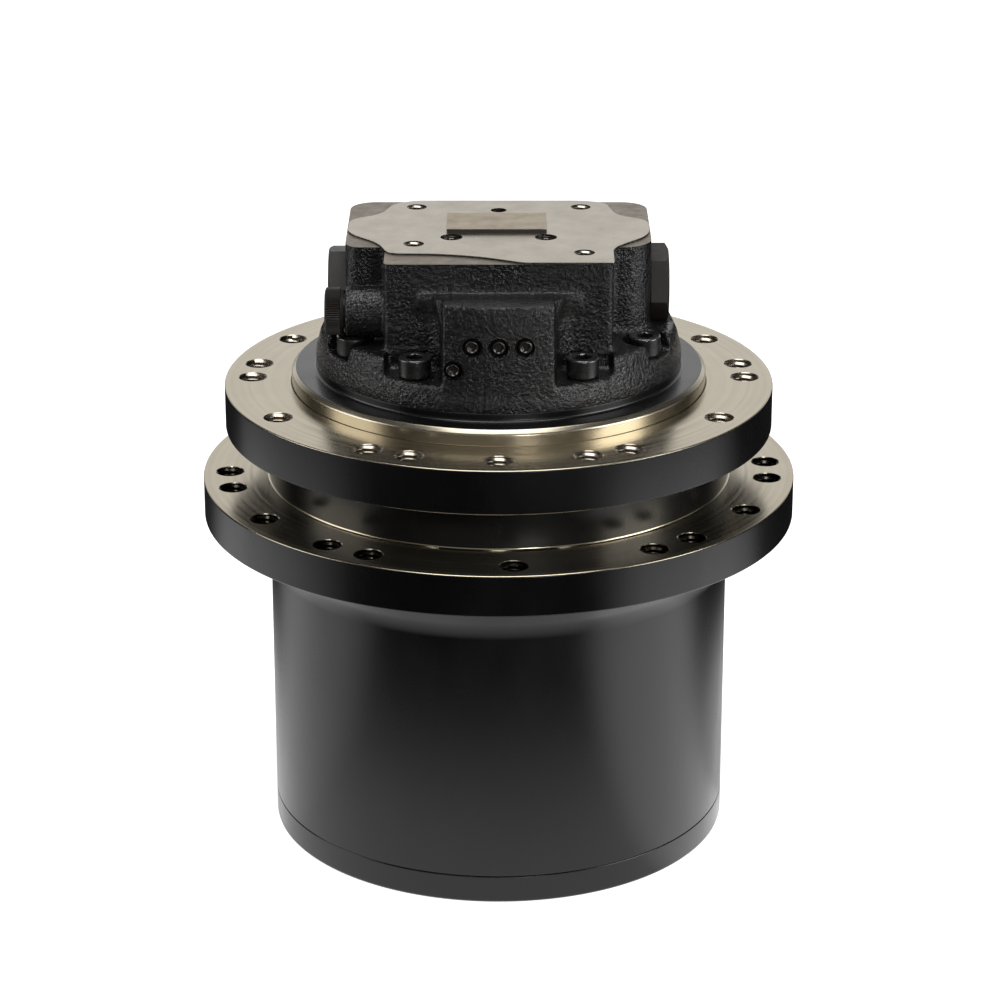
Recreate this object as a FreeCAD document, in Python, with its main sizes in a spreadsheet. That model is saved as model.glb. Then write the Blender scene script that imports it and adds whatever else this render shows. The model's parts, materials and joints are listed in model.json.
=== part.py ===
"""Excavator final drive: a hydraulic travel motor and a two-stage planetary gearbox in one unit.

Frame: millimetres, +Z up along the drive's axis, origin on the outer face of the gearbox cover,
which the drive stands on. The motor cover is at the top and its gauge plugs face -Y.
The frame flange and all that is bolted to it stand still. The housing with the sprocket flange turns.
"""
import FreeCAD, Part
import Sketcher
import math
import os
import re
from FreeCAD import Placement, Rotation, Vector

# ---------------------------------------------------------------- driving sizes
SIZES = {
    # rotating housing
    "drum_radius": 117.5,
    "cover_rim": 14.5,
    "sprocket_face_rise": 48.5,
    "sprocket_flange_thickness": 21,
    "sprocket_flange_width": 24,
    "flare_width": 9.5,
    "sprocket_pilot_land": 5,
    "flare_height": 16,
    "sprocket_bolt_inset": 10.5,
    "sprocket_turn": 3,
    "edge_break": 0.8,
    # frame flange
    "frame_face_rise": 47,
    "frame_flange_thickness": 22.5,
    "frame_flange_width": 34,
    "frame_bolt_inset": 20,
    "pilot_radius": 105,
    "pilot_land": 8,
    "seat_radius": 92.5,
    "seat_step": 4,
    "flange_gap": 3,
    "thread_bore_radius": 5.9,
    "thread_mouth_radius": 7.35,
    "frame_bolt_pitch_count": 12,
    "sprocket_bolt_pitch_count": 9,
    # gears
    "gear_module": 2.5,
    "tooth_thinning": 0.15,
    "ring_teeth": 75,
    "first_sun_teeth": 15,
    "second_sun_teeth": 17,
    "first_planet_count": 3,
    "second_planet_count": 4,
    "first_planet_width": 22,
    "second_planet_width": 39,
    "first_planet_gap": 9.5,
    "second_planet_gap": 6.5,
    "second_carrier_gap": 2.5,
    "ring_overrun": 2.5,
    "pin_clearance": 0.15,
    "washer_thickness": 1.8,
    "washer_gap": 0.2,
    "first_pin_radius": 10,
    "second_pin_radius": 13,
    "first_carrier_thickness": 10,
    "first_carrier_radius": 72,
    "second_carrier_thickness": 14,
    "second_carrier_radius": 80,
    # main bearings
    "bearing_section": 21,
    "bearing_outer_radius": 91,
    "bearing_width": 21,
    "bearing_spacing": 22,
    "roller_radius": 4.2,
    "roller_length": 15,
    "roller_angle": 13,
    "roller_count": 24,
    "roller_clearance": 0.15,
    # floating seal
    "seal_recess_radius": 100,
    "seal_inner_radius": 84,
    "seal_outer_radius": 94.2,
    "seal_ring_height": 9,
    "seal_cord_radius": 2.85,
    # motor bores in the spindle
    "motor_floor_rise": 25,
    "motor_bore_radius": 50,
    "brake_depth": 50,
    "plate_bore_radius": 58.5,
    "brake_piston_land": 19,
    "brake_bore_radius": 64,
    "shaft_bearing_radius": 31,
    "shaft_bearing_width": 16,
    "shaft_seal_radius": 23,
    "shaft_pass_radius": 17,
    # rotating group
    "shaft_radius": 15,
    "shaft_mid_radius": 14,
    "shaft_spline_radius": 16,
    "shaft_upper_radius": 12,
    "shaft_end_radius": 10,
    "drive_gear_shaft_radius": 9.5,
    "block_radius": 43,
    "block_rise": 15,
    "block_port_depth": 8,
    "piston_circle": 30,
    "piston_count": 9,
    "piston_radius": 8.3,
    "piston_bore_radius": 8.5,
    "piston_ball_radius": 5,
    "swash_angle": 15,
    "swash_rise": 30,
    "shoe_offset": 7.5,
    "shoe_radius": 9.5,
    "shoe_flange": 3.5,
    "shoe_cup_radius": 6.8,
    "guide_radius": 20,
    "swash_plate_thickness": 6,
    "swash_plate_radius": 43,
    "cradle_radius": 27,
    "valve_plate_radius": 42,
    "valve_plate_thickness": 5,
    "valve_plate_bore": 20,
    # brake
    "steel_plate_thickness": 2.5,
    "friction_disc_thickness": 3,
    "steel_plate_count": 4,
    "brake_plate_gap": 0.1,
    "brake_stack_gap": 3,
    "disc_spring_height": 6,
    "disc_spring_sheet": 1.6,
    # motor cover
    "rim_height": 20.5,
    "rim_top_radius": 88.5,
    "pocket_floor": 11.6,
    "cover_height": 65.4,
    "cast_top_step": 1,
    "block_front": 56.5,
    "block_rear": 56,
    "block_half_width": 56,
    "shoulder_half_width": 76,
    "shoulder_front": 27,
    "front_boss_half_width": 27,
    "front_boss_height": 44.5,
    "front_boss_radius": 91,
    "cover_screw_circle": 80.3,
    "front_screw_angle": 30.5,
    "side_screw_angle": 64.2,
    "spool_height": 35,
    "spool_depth": 8,
    "spool_radius": 9,
    "spool_length": 92,
    "pilot_boss_depth": 38,
    "pilot_boss_radius": 12.6,
    "pilot_spool_radius": 5,
    "cover_bearing_radius": 23.5,
    "cover_bearing_width": 14,
    "name_plate_width": 50,
    "name_plate_depth": 30,
    "name_plate_thickness": 2,
    "main_port_radius": 9.3,
    "main_port_spacing": 48,
    "main_port_depth": 22,
    # running and assembly clearances
    "running_gap": 0.2,
    "film_gap": 0.1,
}

# ---------------------------------------------------------------- levels worked out from the sizes
LEVELS = {
    # the stack, from the cover up
    "first_planet_bottom": "cover_rim + first_planet_gap",
    "first_planet_top": "first_planet_bottom + first_planet_width",
    "first_carrier_bottom": "first_planet_top + washer_gap + washer_thickness",
    "first_carrier_top": "first_carrier_bottom + first_carrier_thickness",
    "second_planet_bottom": "first_carrier_top + second_planet_gap",
    "second_planet_top": "second_planet_bottom + second_planet_width",
    "ring_top": "second_planet_top + ring_overrun",
    "second_carrier_bottom": "second_planet_top + second_carrier_gap",
    "spindle_bottom": "second_carrier_bottom + second_carrier_thickness",
    "lower_bearing_top": "spindle_bottom + bearing_width",
    "upper_bearing_bottom": "lower_bearing_top + bearing_spacing",
    "upper_bearing_top": "upper_bearing_bottom + bearing_width",
    "sprocket_face_height": "spindle_bottom + sprocket_face_rise",
    "sprocket_top": "sprocket_face_height + sprocket_flange_thickness",
    "frame_face_height": "sprocket_face_height + frame_face_rise",
    "frame_top": "frame_face_height + frame_flange_thickness",
    "pilot_top": "frame_top + pilot_land",
    "seat_top": "pilot_top + seat_step",
    "neck_top": "frame_face_height - flange_gap",
    "seal_bottom": "neck_top + flange_gap / 2 - seal_ring_height",
    "seal_middle": "seal_bottom + seal_ring_height",
    "seal_top": "seal_middle + seal_ring_height",
    # flanges and bearings
    "sprocket_pilot_radius": "drum_radius + flare_width",
    "sprocket_flange_radius": "sprocket_pilot_radius + sprocket_flange_width",
    "sprocket_bolt_circle": "sprocket_pilot_radius + sprocket_bolt_inset",
    "frame_flange_radius": "pilot_radius + frame_flange_width",
    "frame_bolt_circle": "pilot_radius + frame_bolt_inset",
    "bearing_inner_radius": "bearing_outer_radius - bearing_section",
    "bearing_pitch": "(bearing_inner_radius + bearing_outer_radius) / 2",
    # gears
    "ring_pitch": "gear_module * ring_teeth / 2",
    "ring_tip": "ring_pitch - gear_module",
    "ring_root": "ring_pitch + 1.25 * gear_module",
    "first_planet_teeth": "(ring_teeth - first_sun_teeth) / 2",
    "second_planet_teeth": "(ring_teeth - second_sun_teeth) / 2",
    "first_centres": "gear_module * (first_sun_teeth + first_planet_teeth) / 2",
    "second_centres": "gear_module * (second_sun_teeth + second_planet_teeth) / 2",
    # motor and brake
    "motor_floor": "spindle_bottom + motor_floor_rise",
    "swash_centre": "motor_floor + swash_rise",
    "block_bottom": "swash_centre + block_rise",
    "block_top": "seat_top - valve_plate_thickness",
    "piston_length": "block_top - block_port_depth - swash_centre"
                     " - piston_circle * tan(swash_angle) - 9",
    "brake_bottom": "seat_top - brake_depth",
    "brake_step_height": "seat_top - brake_piston_land",
    "brake_stack_bottom": "brake_bottom + brake_stack_gap",
    "brake_piston_step": "brake_step_height + 1",
    "brake_piston_top": "seat_top - disc_spring_height",
    "brake_pitch": "steel_plate_thickness + friction_disc_thickness + 2 * brake_plate_gap",
    "brake_stack_top": "brake_stack_bottom + (steel_plate_count - 1) * brake_pitch"
                       " + steel_plate_thickness",
    "plate_edge_radius": "plate_bore_radius - 3.5",
    # motor cover
    "rim_top": "seat_top + rim_height",
    "pocket_level": "seat_top + pocket_floor",
    "cover_top": "seat_top + cover_height",
    "cast_top": "cover_top - cast_top_step",
    "spool_level": "seat_top + spool_height",
}

doc = FreeCAD.newDocument("final_drive")
sizes = doc.addObject("Spreadsheet::Sheet", "sizes")
levels = doc.addObject("Spreadsheet::Sheet", "levels")
PIECES = []


def link(text):
    """Write each size and level in a formula with the sheet that holds it."""
    def owner(match):
        word = match.group()
        if word in SIZES:
            return "sizes." + word
        return "levels." + word if word in LEVELS else word
    return re.sub(r"[a-z][a-z0-9_]*", owner, str(text))


def fill_sheets():
    for row, (name, number) in enumerate(SIZES.items(), start=1):
        sizes.set(f"A{row}", name)
        sizes.set(f"B{row}", str(number))
        sizes.setAlias(f"B{row}", name)
    doc.recompute()
    for row, (name, formula) in enumerate(LEVELS.items(), start=1):
        levels.set(f"A{row}", name)
        levels.set(f"B{row}", "=" + link(formula).replace("levels.", ""))
        levels.setAlias(f"B{row}", name)
    doc.recompute()


def value(name):
    """The number that a size or a level has now."""
    sheet = sizes if name in SIZES else levels
    return float(sheet.get(name))


def number(formula):
    """The number that a formula gives now."""
    return float(sizes.evalExpression(link(formula)))


def bind(item, formulas):
    for target, formula in formulas.items():
        item.setExpression(target, link(formula))
    return item


def at(x="0", y="0", z="0"):
    """Formulas for an object's place."""
    return {"Placement.Base.x": x, "Placement.Base.y": y, "Placement.Base.z": z}


def on_circle(radius, angle, z="0"):
    """Formulas for a place on a circle about the drive's axis, with the angle in degrees."""
    return at(f"({radius}) * cos({angle})", f"({radius}) * sin({angle})", z)


# ---------------------------------------------------------------- solids that are used everywhere
def cylinder(name, radius, bottom, top, place=None):
    """A cylinder along Z, on the drive's axis unless another place is given."""
    item = doc.addObject("Part::Cylinder", name)
    formulas = {"Radius": radius, "Height": f"({top}) - ({bottom})"}
    formulas.update(place or at())
    formulas["Placement.Base.z"] = bottom
    return bind(item, formulas)


def cone(name, bottom_radius, top_radius, bottom, top, place=None):
    item = doc.addObject("Part::Cone", name)
    formulas = {"Radius1": bottom_radius, "Radius2": top_radius, "Height": f"({top}) - ({bottom})"}
    formulas.update(place or at())
    formulas["Placement.Base.z"] = bottom
    return bind(item, formulas)


def sphere(name, radius, place):
    item = doc.addObject("Part::Sphere", name)
    return bind(item, {"Radius": radius, **place})


def box(name, x_range, y_range, z_range):
    item = doc.addObject("Part::Box", name)
    spans = {"Length": x_range, "Width": y_range, "Height": z_range}
    formulas = {side: f"({end}) - ({start})" for side, (start, end) in spans.items()}
    formulas.update(at(x_range[0], y_range[0], z_range[0]))
    return bind(item, formulas)


def rod(name, direction, radius, start, length):
    """A cylinder from a start place along +X, -X, +Y or -Y."""
    item = doc.addObject("Part::Cylinder", name)
    item.Placement = Placement(Vector(), Rotation(Vector(0, 0, 1), direction))
    return bind(item, {"Radius": radius, "Height": length, **start})


def join(name, *items):
    item = doc.addObject("Part::MultiFuse", name)
    item.Shapes = list(items)
    return item


def bundle(name, items):
    """Separate solids kept as one object."""
    item = doc.addObject("Part::Compound", name)
    item.Links = list(items)
    return item


def cut(name, base, *tools):
    item = doc.addObject("Part::Cut", name)
    item.Base = base
    item.Tool = tools[0] if len(tools) == 1 else bundle(name + "_tools", tools)
    return item


def ring(name, outer, inner, bottom, top, place=None):
    """A plain ring, with its bore cut right through."""
    return cut(name, cylinder(name + "_outside", outer, bottom, top, place),
               cylinder(name + "_bore", inner, bottom, top, place))


def turned(name, profile):
    """A body turned about the drive's axis from a closed outline of (radius, height) formulas."""
    body = doc.addObject("PartDesign::Body", name)
    plane = next(f for f in body.Origin.OriginFeatures if f.Role == "XZ_Plane")
    sketch = body.newObject("Sketcher::SketchObject", name + "_outline")
    sketch.AttachmentSupport = [(plane, "")]
    sketch.MapMode = "FlatFace"
    spots = [(number(r), number(z)) for r, z in profile]
    for start, end in zip(spots, spots[1:] + spots[:1]):
        sketch.addGeometry(Part.LineSegment(Vector(*start, 0), Vector(*end, 0)), False)
    count = len(profile)
    for index in range(count):
        sketch.addConstraint(Sketcher.Constraint("Coincident", index, 2, (index + 1) % count, 1))
    for index, corner in enumerate(profile):
        for kind, formula, spot in zip(("DistanceX", "DistanceY"), corner, spots[index]):
            made = sketch.addConstraint(Sketcher.Constraint(kind, -1, 1, index, 1, spot))
            sketch.setExpression(f"Constraints[{made}]", link(formula))
    turn = body.newObject("PartDesign::Revolution", name + "_turn")
    turn.Profile = sketch
    turn.ReferenceAxis = (sketch, ["V_Axis"])
    turn.Angle = 360
    return body


def piece(name, item):
    """A finished sub-part: its label names its file."""
    item.Label = name
    PIECES.append(item)
    return item


def copies(name, pattern, placements):
    """One sub-part of equal solids: the pattern's solid at each placement."""
    doc.recompute()
    item = doc.addObject("Part::Feature", name)
    item.Shape = Part.makeCompound([pattern.Shape.transformed(p.toMatrix()) for p in placements])
    return piece(name, item)


def turned_to(angle):
    return Placement(Vector(), Rotation(Vector(0, 0, 1), angle))


def socket_screw(name, radius, head_height, length):
    """A hexagon socket head screw: the head's underside is at zero and the shank points down."""
    head = cylinder(name + "_head", f"1.6 * ({radius})", "0", head_height)
    shank = cylinder(name + "_shank", radius, f"-({length})", "0")
    socket = doc.addObject("Part::Prism", name + "_socket")
    socket.Polygon = 6
    bind(socket, {"Circumradius": f"0.95 * ({radius})", "Height": head_height,
                  "Placement.Base.z": f"0.45 * ({head_height})"})
    return cut(name, join(name + "_solid", head, shank), socket)


# ---------------------------------------------------------------- gears
def tooth_outline(teeth, tip, root, thinning, start, flank_steps=2):
    """The closed outline of an involute gear; the first tooth points along the start angle."""
    pitch = value("gear_module") * teeth / 2
    pressure = math.radians(20)
    base = pitch * math.cos(pressure)

    def half_angle(radius):
        here = math.acos(min(1, base / max(radius, base)))
        roll = math.tan(pressure) - pressure - math.tan(here) + here
        return (math.pi / 2) / teeth - thinning / pitch + roll

    radii = [root + (tip - root) * step / flank_steps for step in range(flank_steps + 1)]
    flank = [(-half_angle(radius), radius) for radius in radii]
    tooth = flank + [(-angle, radius) for angle, radius in reversed(flank)]
    corners = []
    for count in range(teeth):
        middle = start + 2 * math.pi * count / teeth
        for angle, radius in tooth:
            corners.append(Vector(radius * math.cos(middle + angle), radius * math.sin(middle + angle)))
    return corners


def prism(corners, bottom, top):
    """A solid between two levels with the given outline."""
    wire = Part.makePolygon([Vector(c.x, c.y, bottom) for c in corners + corners[:1]])
    return Part.Face(wire).extrude(Vector(0, 0, top - bottom))


def gear_blank(teeth, bottom, top, start, flank_steps=2, growth=0.0):
    """An external gear's solid. Growth widens it on every side, to cut a bore that it fits."""
    module = value("gear_module")
    pitch = module * teeth / 2
    outline = tooth_outline(teeth, pitch + module + growth, pitch - 1.25 * module + growth,
                            value("tooth_thinning") - growth, start, flank_steps)
    return prism(outline, bottom, top)


def planet_phase(angle, sun_teeth, sun_start, planet_teeth):
    """The turn of a planet, set at an angle about the axis, that meshes it with its sun."""
    turn = (angle - sun_start) * sun_teeth + (angle + math.pi) * planet_teeth - math.pi
    return turn / planet_teeth


def sun_start(sun_teeth, planet_teeth, angle):
    """The turn of a sun that lets its planets mesh with a ring whose first tooth points along +X."""
    turn = angle * (sun_teeth + int(value("ring_teeth"))) + math.pi * planet_teeth
    return turn / sun_teeth


def feature(name, shape):
    item = doc.addObject("Part::Feature", name)
    item.Shape = shape
    return item


def make_planets(stage, first_angle, bore):
    """The planets of one stage, each a node of its own."""
    teeth = int(value(stage + "_planet_teeth"))
    sun_teeth = int(value(stage + "_sun_teeth"))
    count = int(value(stage + "_planet_count"))
    bottom, top = value(stage + "_planet_bottom"), value(stage + "_planet_top")
    start = sun_start(sun_teeth, teeth, first_angle)
    for index in range(count):
        angle = first_angle + 2 * math.pi * index / count
        phase = planet_phase(angle, sun_teeth, start, teeth)
        name = f"{stage}_stage_planet_{index + 1}"
        blank = feature(name + "_teeth", gear_blank(teeth, bottom, top, phase))
        hole = feature(name + "_bore", Part.makeCylinder(bore, top - bottom, Vector(0, 0, bottom)))
        planet = cut(name, blank, hole)
        degrees = math.degrees(angle)
        bind(planet, on_circle(stage + "_centres", f"{degrees:.6f}"))
        piece(name, planet)


def second_stage_angle():
    return math.pi / int(value("second_planet_count"))


# ---------------------------------------------------------------- rotating housing
def bolt_angles(start_of_nine):
    """Both flanges have twelve holes and nine holes on one circle, and share three of them."""
    twelve = [360 / value("frame_bolt_pitch_count") * i for i in range(12)]
    nine = [start_of_nine + 360 / value("sprocket_bolt_pitch_count") * i for i in range(9)]
    return sorted({round(angle % 360, 3) for angle in twelve + nine})


def thread_bores(name, bolt_circle, angles, turn, bottom, top):
    """Threaded holes right through a flange, each with a chamfered mouth at both faces."""
    tools = []
    for index, angle in enumerate(angles, start=1):
        tag = f"{name}_{index}"
        place = on_circle(bolt_circle, f"{turn} + {angle}")
        mouth = "thread_mouth_radius - thread_bore_radius"
        tools.append(join(
            tag,
            cylinder(tag + "_bore", "thread_bore_radius", bottom, top, place),
            cone(tag + "_upper_mouth", "thread_bore_radius", "thread_mouth_radius",
                 f"({top}) - ({mouth})", top, place),
            cone(tag + "_lower_mouth", "thread_mouth_radius", "thread_bore_radius",
                 bottom, f"({bottom}) + ({mouth})", place)))
    return tools


def make_housing():
    """The drum, its sprocket flange and neck, with the ring gear's teeth cut into its wall."""
    flare_top = "sprocket_face_height - sprocket_pilot_land"
    body = turned("housing_turned", [
        ("ring_tip", "cover_rim"),
        ("drum_radius - edge_break", "cover_rim"),
        ("drum_radius", "cover_rim + edge_break"),
        ("drum_radius", f"{flare_top} - flare_height"),
        ("sprocket_pilot_radius", flare_top),
        ("sprocket_pilot_radius", "sprocket_face_height"),
        ("sprocket_flange_radius - edge_break", "sprocket_face_height"),
        ("sprocket_flange_radius", "sprocket_face_height + edge_break"),
        ("sprocket_flange_radius", "sprocket_top - edge_break"),
        ("sprocket_flange_radius - edge_break", "sprocket_top"),
        ("drum_radius + 2", "sprocket_top"),
        ("drum_radius", "sprocket_top + 2"),
        ("drum_radius", "neck_top - edge_break"),
        ("drum_radius - edge_break", "neck_top"),
        ("seal_recess_radius", "neck_top"),
        ("seal_recess_radius", "seal_bottom - 1"),
        ("bearing_outer_radius", "seal_bottom - 1"),
        ("bearing_outer_radius", "upper_bearing_bottom"),
        ("bearing_outer_radius - 5", "upper_bearing_bottom"),
        ("bearing_outer_radius - 5", "lower_bearing_top"),
        ("bearing_outer_radius", "lower_bearing_top"),
        ("bearing_outer_radius", "ring_top + 4"),
        ("ring_root + 0.6", "ring_top + 4"),
        ("ring_root + 0.6", "ring_top"),
        ("ring_tip", "ring_top"),
    ])
    doc.recompute()
    teeth = int(value("ring_teeth"))
    thinning = -value("tooth_thinning")
    spaces = tooth_outline(teeth, value("ring_root"), value("ring_tip") - 1, thinning,
                           math.pi / teeth, flank_steps=1)
    teeth_tool = feature("ring_gear_spaces", prism(spaces, value("cover_rim"), value("ring_top") + 1))
    bores = thread_bores("sprocket_hole", "sprocket_bolt_circle", bolt_angles(30), "sprocket_turn",
                         "sprocket_face_height", "sprocket_top")
    screws = [cylinder(f"cover_screw_hole_{i + 1}", "4", "cover_rim", "cover_rim + 22",
                       on_circle("(drum_radius + ring_root) / 2", f"{i * 30}"))
              for i in range(12)]
    piece("housing", cut("housing", body, teeth_tool, *bores, *screws))


def make_gearbox_cover():
    """The cover that closes the drum, with its screws, seal cord, plugs and thrust pad."""
    body = turned("gearbox_cover_turned", [
        ("0", "0"),
        ("drum_radius - 2", "0"),
        ("drum_radius", "2"),
        ("drum_radius", "cover_rim - edge_break"),
        ("drum_radius - edge_break", "cover_rim"),
        ("ring_root + 5", "cover_rim"),
        ("ring_root + 5", "cover_rim - 2.4"),
        ("ring_root + 1", "cover_rim - 2.4"),
        ("ring_root + 1", "cover_rim"),
        ("ring_tip - 4", "cover_rim"),
        ("ring_tip - 8", "cover_rim - 3"),
        ("28", "cover_rim - 3"),
        ("28", "cover_rim"),
        ("12.2", "cover_rim"),
        ("12.2", "cover_rim - 4"),
        ("0", "cover_rim - 4"),
    ])
    circle = "(drum_radius + ring_root) / 2"
    tools = []
    for index in range(12):
        place = on_circle(circle, f"{index * 30}")
        tools.append(cylinder(f"cover_screw_seat_{index}", "7", "0", "9", place))
        tools.append(cylinder(f"cover_screw_pass_{index}", "4.25", "9", "cover_rim", place))
    plug_angles = (90, 210, 330)
    for angle in plug_angles:
        place = on_circle("60", f"{angle}")
        tools.append(cylinder(f"oil_plug_seat_{angle}", "12", "0", "2", place))
        tools.append(cylinder(f"oil_plug_hole_{angle}", "8", "2", "cover_rim", place))
    piece("gearbox_cover", cut("gearbox_cover", body, *tools))
    screw = socket_screw("cover_screw", "4", "8", "24")
    radius = number(circle)
    places = [turned_to(index * 30) * Placement(Vector(radius, 0, 9), Rotation(Vector(1, 0, 0), 180))
              for index in range(12)]
    copies("gearbox_cover_screws", screw, places)
    piece("gearbox_cover_seal", ring("gearbox_cover_seal", "ring_root + 4.5", "ring_root + 1.5",
                                     "cover_rim - 2.4", "cover_rim"))
    plug = join("oil_plug_solid", cylinder("oil_plug_head", "11.5", "0.3", "2"),
                cylinder("oil_plug_shank", "8", "2", "cover_rim - 3"))
    recess = doc.addObject("Part::Prism", "oil_plug_socket")
    recess.Polygon = 6
    bind(recess, {"Circumradius": "4.6", "Height": "6"})
    doc.recompute()
    copies("oil_plugs", cut("oil_plug", plug, recess),
           [turned_to(angle) * Placement(Vector(60, 0, 0), Rotation()) for angle in plug_angles])
    piece("thrust_pad", cylinder("thrust_pad", "12", "cover_rim - 4", "cover_rim + 3"))


# ---------------------------------------------------------------- spindle and what it carries
def make_spindle():
    """The fixed casting: frame flange and pilot, bearing seats, motor bore and cradle seats."""
    body = turned("spindle_turned", [
        ("shaft_pass_radius", "spindle_bottom"),
        ("bearing_inner_radius", "spindle_bottom"),
        ("bearing_inner_radius", "upper_bearing_top"),
        ("bearing_inner_radius + 8", "upper_bearing_top"),
        ("bearing_inner_radius + 8", "seal_top + 1"),
        ("seal_recess_radius", "seal_top + 1"),
        ("seal_recess_radius", "frame_face_height"),
        ("frame_flange_radius - edge_break", "frame_face_height"),
        ("frame_flange_radius", "frame_face_height + edge_break"),
        ("frame_flange_radius", "frame_top - edge_break"),
        ("frame_flange_radius - edge_break", "frame_top"),
        ("pilot_radius", "frame_top"),
        ("pilot_radius", "pilot_top - 1.5"),
        ("pilot_radius - 1.5", "pilot_top"),
        ("seat_radius", "pilot_top"),
        ("seat_radius", "seat_top"),
        ("brake_bore_radius + 5", "seat_top"),
        ("brake_bore_radius + 5", "seat_top - 2.4"),
        ("brake_bore_radius + 1.5", "seat_top - 2.4"),
        ("brake_bore_radius + 1.5", "seat_top"),
        ("brake_bore_radius", "seat_top"),
        ("brake_bore_radius", "brake_step_height"),
        ("plate_edge_radius", "brake_step_height"),
        ("plate_edge_radius", "brake_bottom"),
        ("motor_bore_radius", "brake_bottom"),
        ("motor_bore_radius", "motor_floor"),
        ("shaft_bearing_radius", "motor_floor"),
        ("shaft_bearing_radius", "motor_floor - shaft_bearing_width"),
        ("shaft_seal_radius", "motor_floor - shaft_bearing_width"),
        ("shaft_seal_radius", "spindle_bottom + 1.5"),
        ("shaft_pass_radius", "spindle_bottom + 1.5"),
    ])
    doc.recompute()
    slots = [slot_tool(f"plate_slot_{index}", "4.2", index, "brake_stack_bottom - 0.5", "brake_step_height")
             for index in range(6)]
    holes = thread_bores("frame_hole", "frame_bolt_circle", bolt_angles(10), "0",
                         "frame_face_height", "frame_top")
    for index, angle in enumerate(cover_screw_angles()):
        holes.append(cylinder(f"motor_cover_thread_{index}", "5", "seat_top - 20", "seat_top",
                              on_circle("cover_screw_circle", f"{angle}")))
    for index in range(4):
        holes.append(cylinder(f"carrier_thread_{index}", "5", "spindle_bottom", "spindle_bottom + 20",
                              on_circle("58", f"{index * 90}")))
    holes.append(cylinder("control_bore", "4.65", "motor_floor - 17", "motor_floor",
                          at("0", "-38")))
    cradles = [cradle_seat("cradle_left", "-40", "-23"), cradle_seat("cradle_right", "23", "40")]
    casting = cut("spindle_bored", body, *slots, *holes)
    piece("spindle", join("spindle", casting, *cradles))


def slot_tool(name, half_width, index, bottom, top, radius="plate_bore_radius"):
    """A slot out to a radius, for the lugs of the brake's steel plates."""
    item = doc.addObject("Part::Box", name)
    item.Placement = Placement(Vector(), Rotation(Vector(0, 0, 1), index * 60))
    turn = index * 60
    bind(item, {"Length": radius, "Width": f"2 * {half_width}", "Height": f"({top}) - ({bottom})"})
    return bind(item, at(f"{half_width} * sin({turn})", f"-{half_width} * cos({turn})", bottom))


def cradle_seat(name, start, end):
    """A block on the motor's floor with a hollow that the swash plate rocks in."""
    block = box(name + "_block", (start, end), ("-17", "17"), ("motor_floor", "swash_centre - 17"))
    hollow = rod(name + "_hollow", Vector(1, 0, 0), "cradle_radius + running_gap",
                 at(start, "0", "swash_centre"), f"({end}) - ({start})")
    return cut(name, block, hollow)


def cover_screw_angles():
    """Two screws at the front, two at the front's sides and two at the rear."""
    front, side = value("front_screw_angle"), value("side_screw_angle")
    return [270 - side, 270 - front, 270 + front, 270 + side, 90 - front, 90 + front]


def make_carrier_plate():
    """The second stage's fixed carrier, which also holds the main bearings, with pins and screws."""
    plate = ring("carrier_plate", "second_carrier_radius", "22", "second_carrier_bottom",
                 "spindle_bottom")
    count = int(value("second_planet_count"))
    start = math.degrees(second_stage_angle())
    angles = [start + 360 / count * index for index in range(count)]
    tools = [cylinder(f"second_pin_hole_{i}", "second_pin_radius", "second_carrier_bottom",
                      "spindle_bottom", on_circle("second_centres", f"{a}"))
             for i, a in enumerate(angles)]
    for index in range(4):
        place = on_circle("58", f"{index * 90}")
        tools.append(cylinder(f"carrier_screw_seat_{index}", "8.5", "second_carrier_bottom",
                              "second_carrier_bottom + 9.5", place))
        tools.append(cylinder(f"carrier_screw_pass_{index}", "5.5", "second_carrier_bottom + 9.5",
                              "spindle_bottom", place))
    piece("second_stage_carrier", cut("second_stage_carrier", plate, *tools))
    screw = socket_screw("carrier_screw", "5", "10", "20")
    seat = number("second_carrier_bottom + 9.5")
    copies("second_stage_carrier_screws", screw,
           [turned_to(index * 90) * Placement(Vector(58, 0, seat), Rotation(Vector(1, 0, 0), 180))
            for index in range(4)])
    make_pins("second", angles, "spindle_bottom")


def make_pins(stage, angles, top):
    """The planet pins of one stage with their heads, and a thrust washer above and below each planet."""
    radius = stage + "_pin_radius"
    head_top = f"{stage}_planet_bottom - washer_gap - washer_thickness"
    head = cylinder(stage + "_pin_head", f"{radius} + 3", f"{head_top} - 1.5", head_top)
    pin = join(stage + "_pin", head, cylinder(stage + "_pin_body", radius, head_top, top))
    centres = value(stage + "_centres")
    places = [turned_to(angle) * Placement(Vector(centres, 0, 0), Rotation()) for angle in angles]
    copies(stage + "_stage_pins", pin, places)
    lower = ring(stage + "_washer_lower", f"{radius} + 7", radius, head_top,
                 f"{head_top} + washer_thickness")
    upper = ring(stage + "_washer_upper", f"{radius} + 7", radius, f"{stage}_planet_top + washer_gap",
                 f"{stage}_planet_top + washer_gap + washer_thickness")
    copies(stage + "_stage_thrust_washers", bundle(stage + "_washers", [lower, upper]), places)


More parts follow.
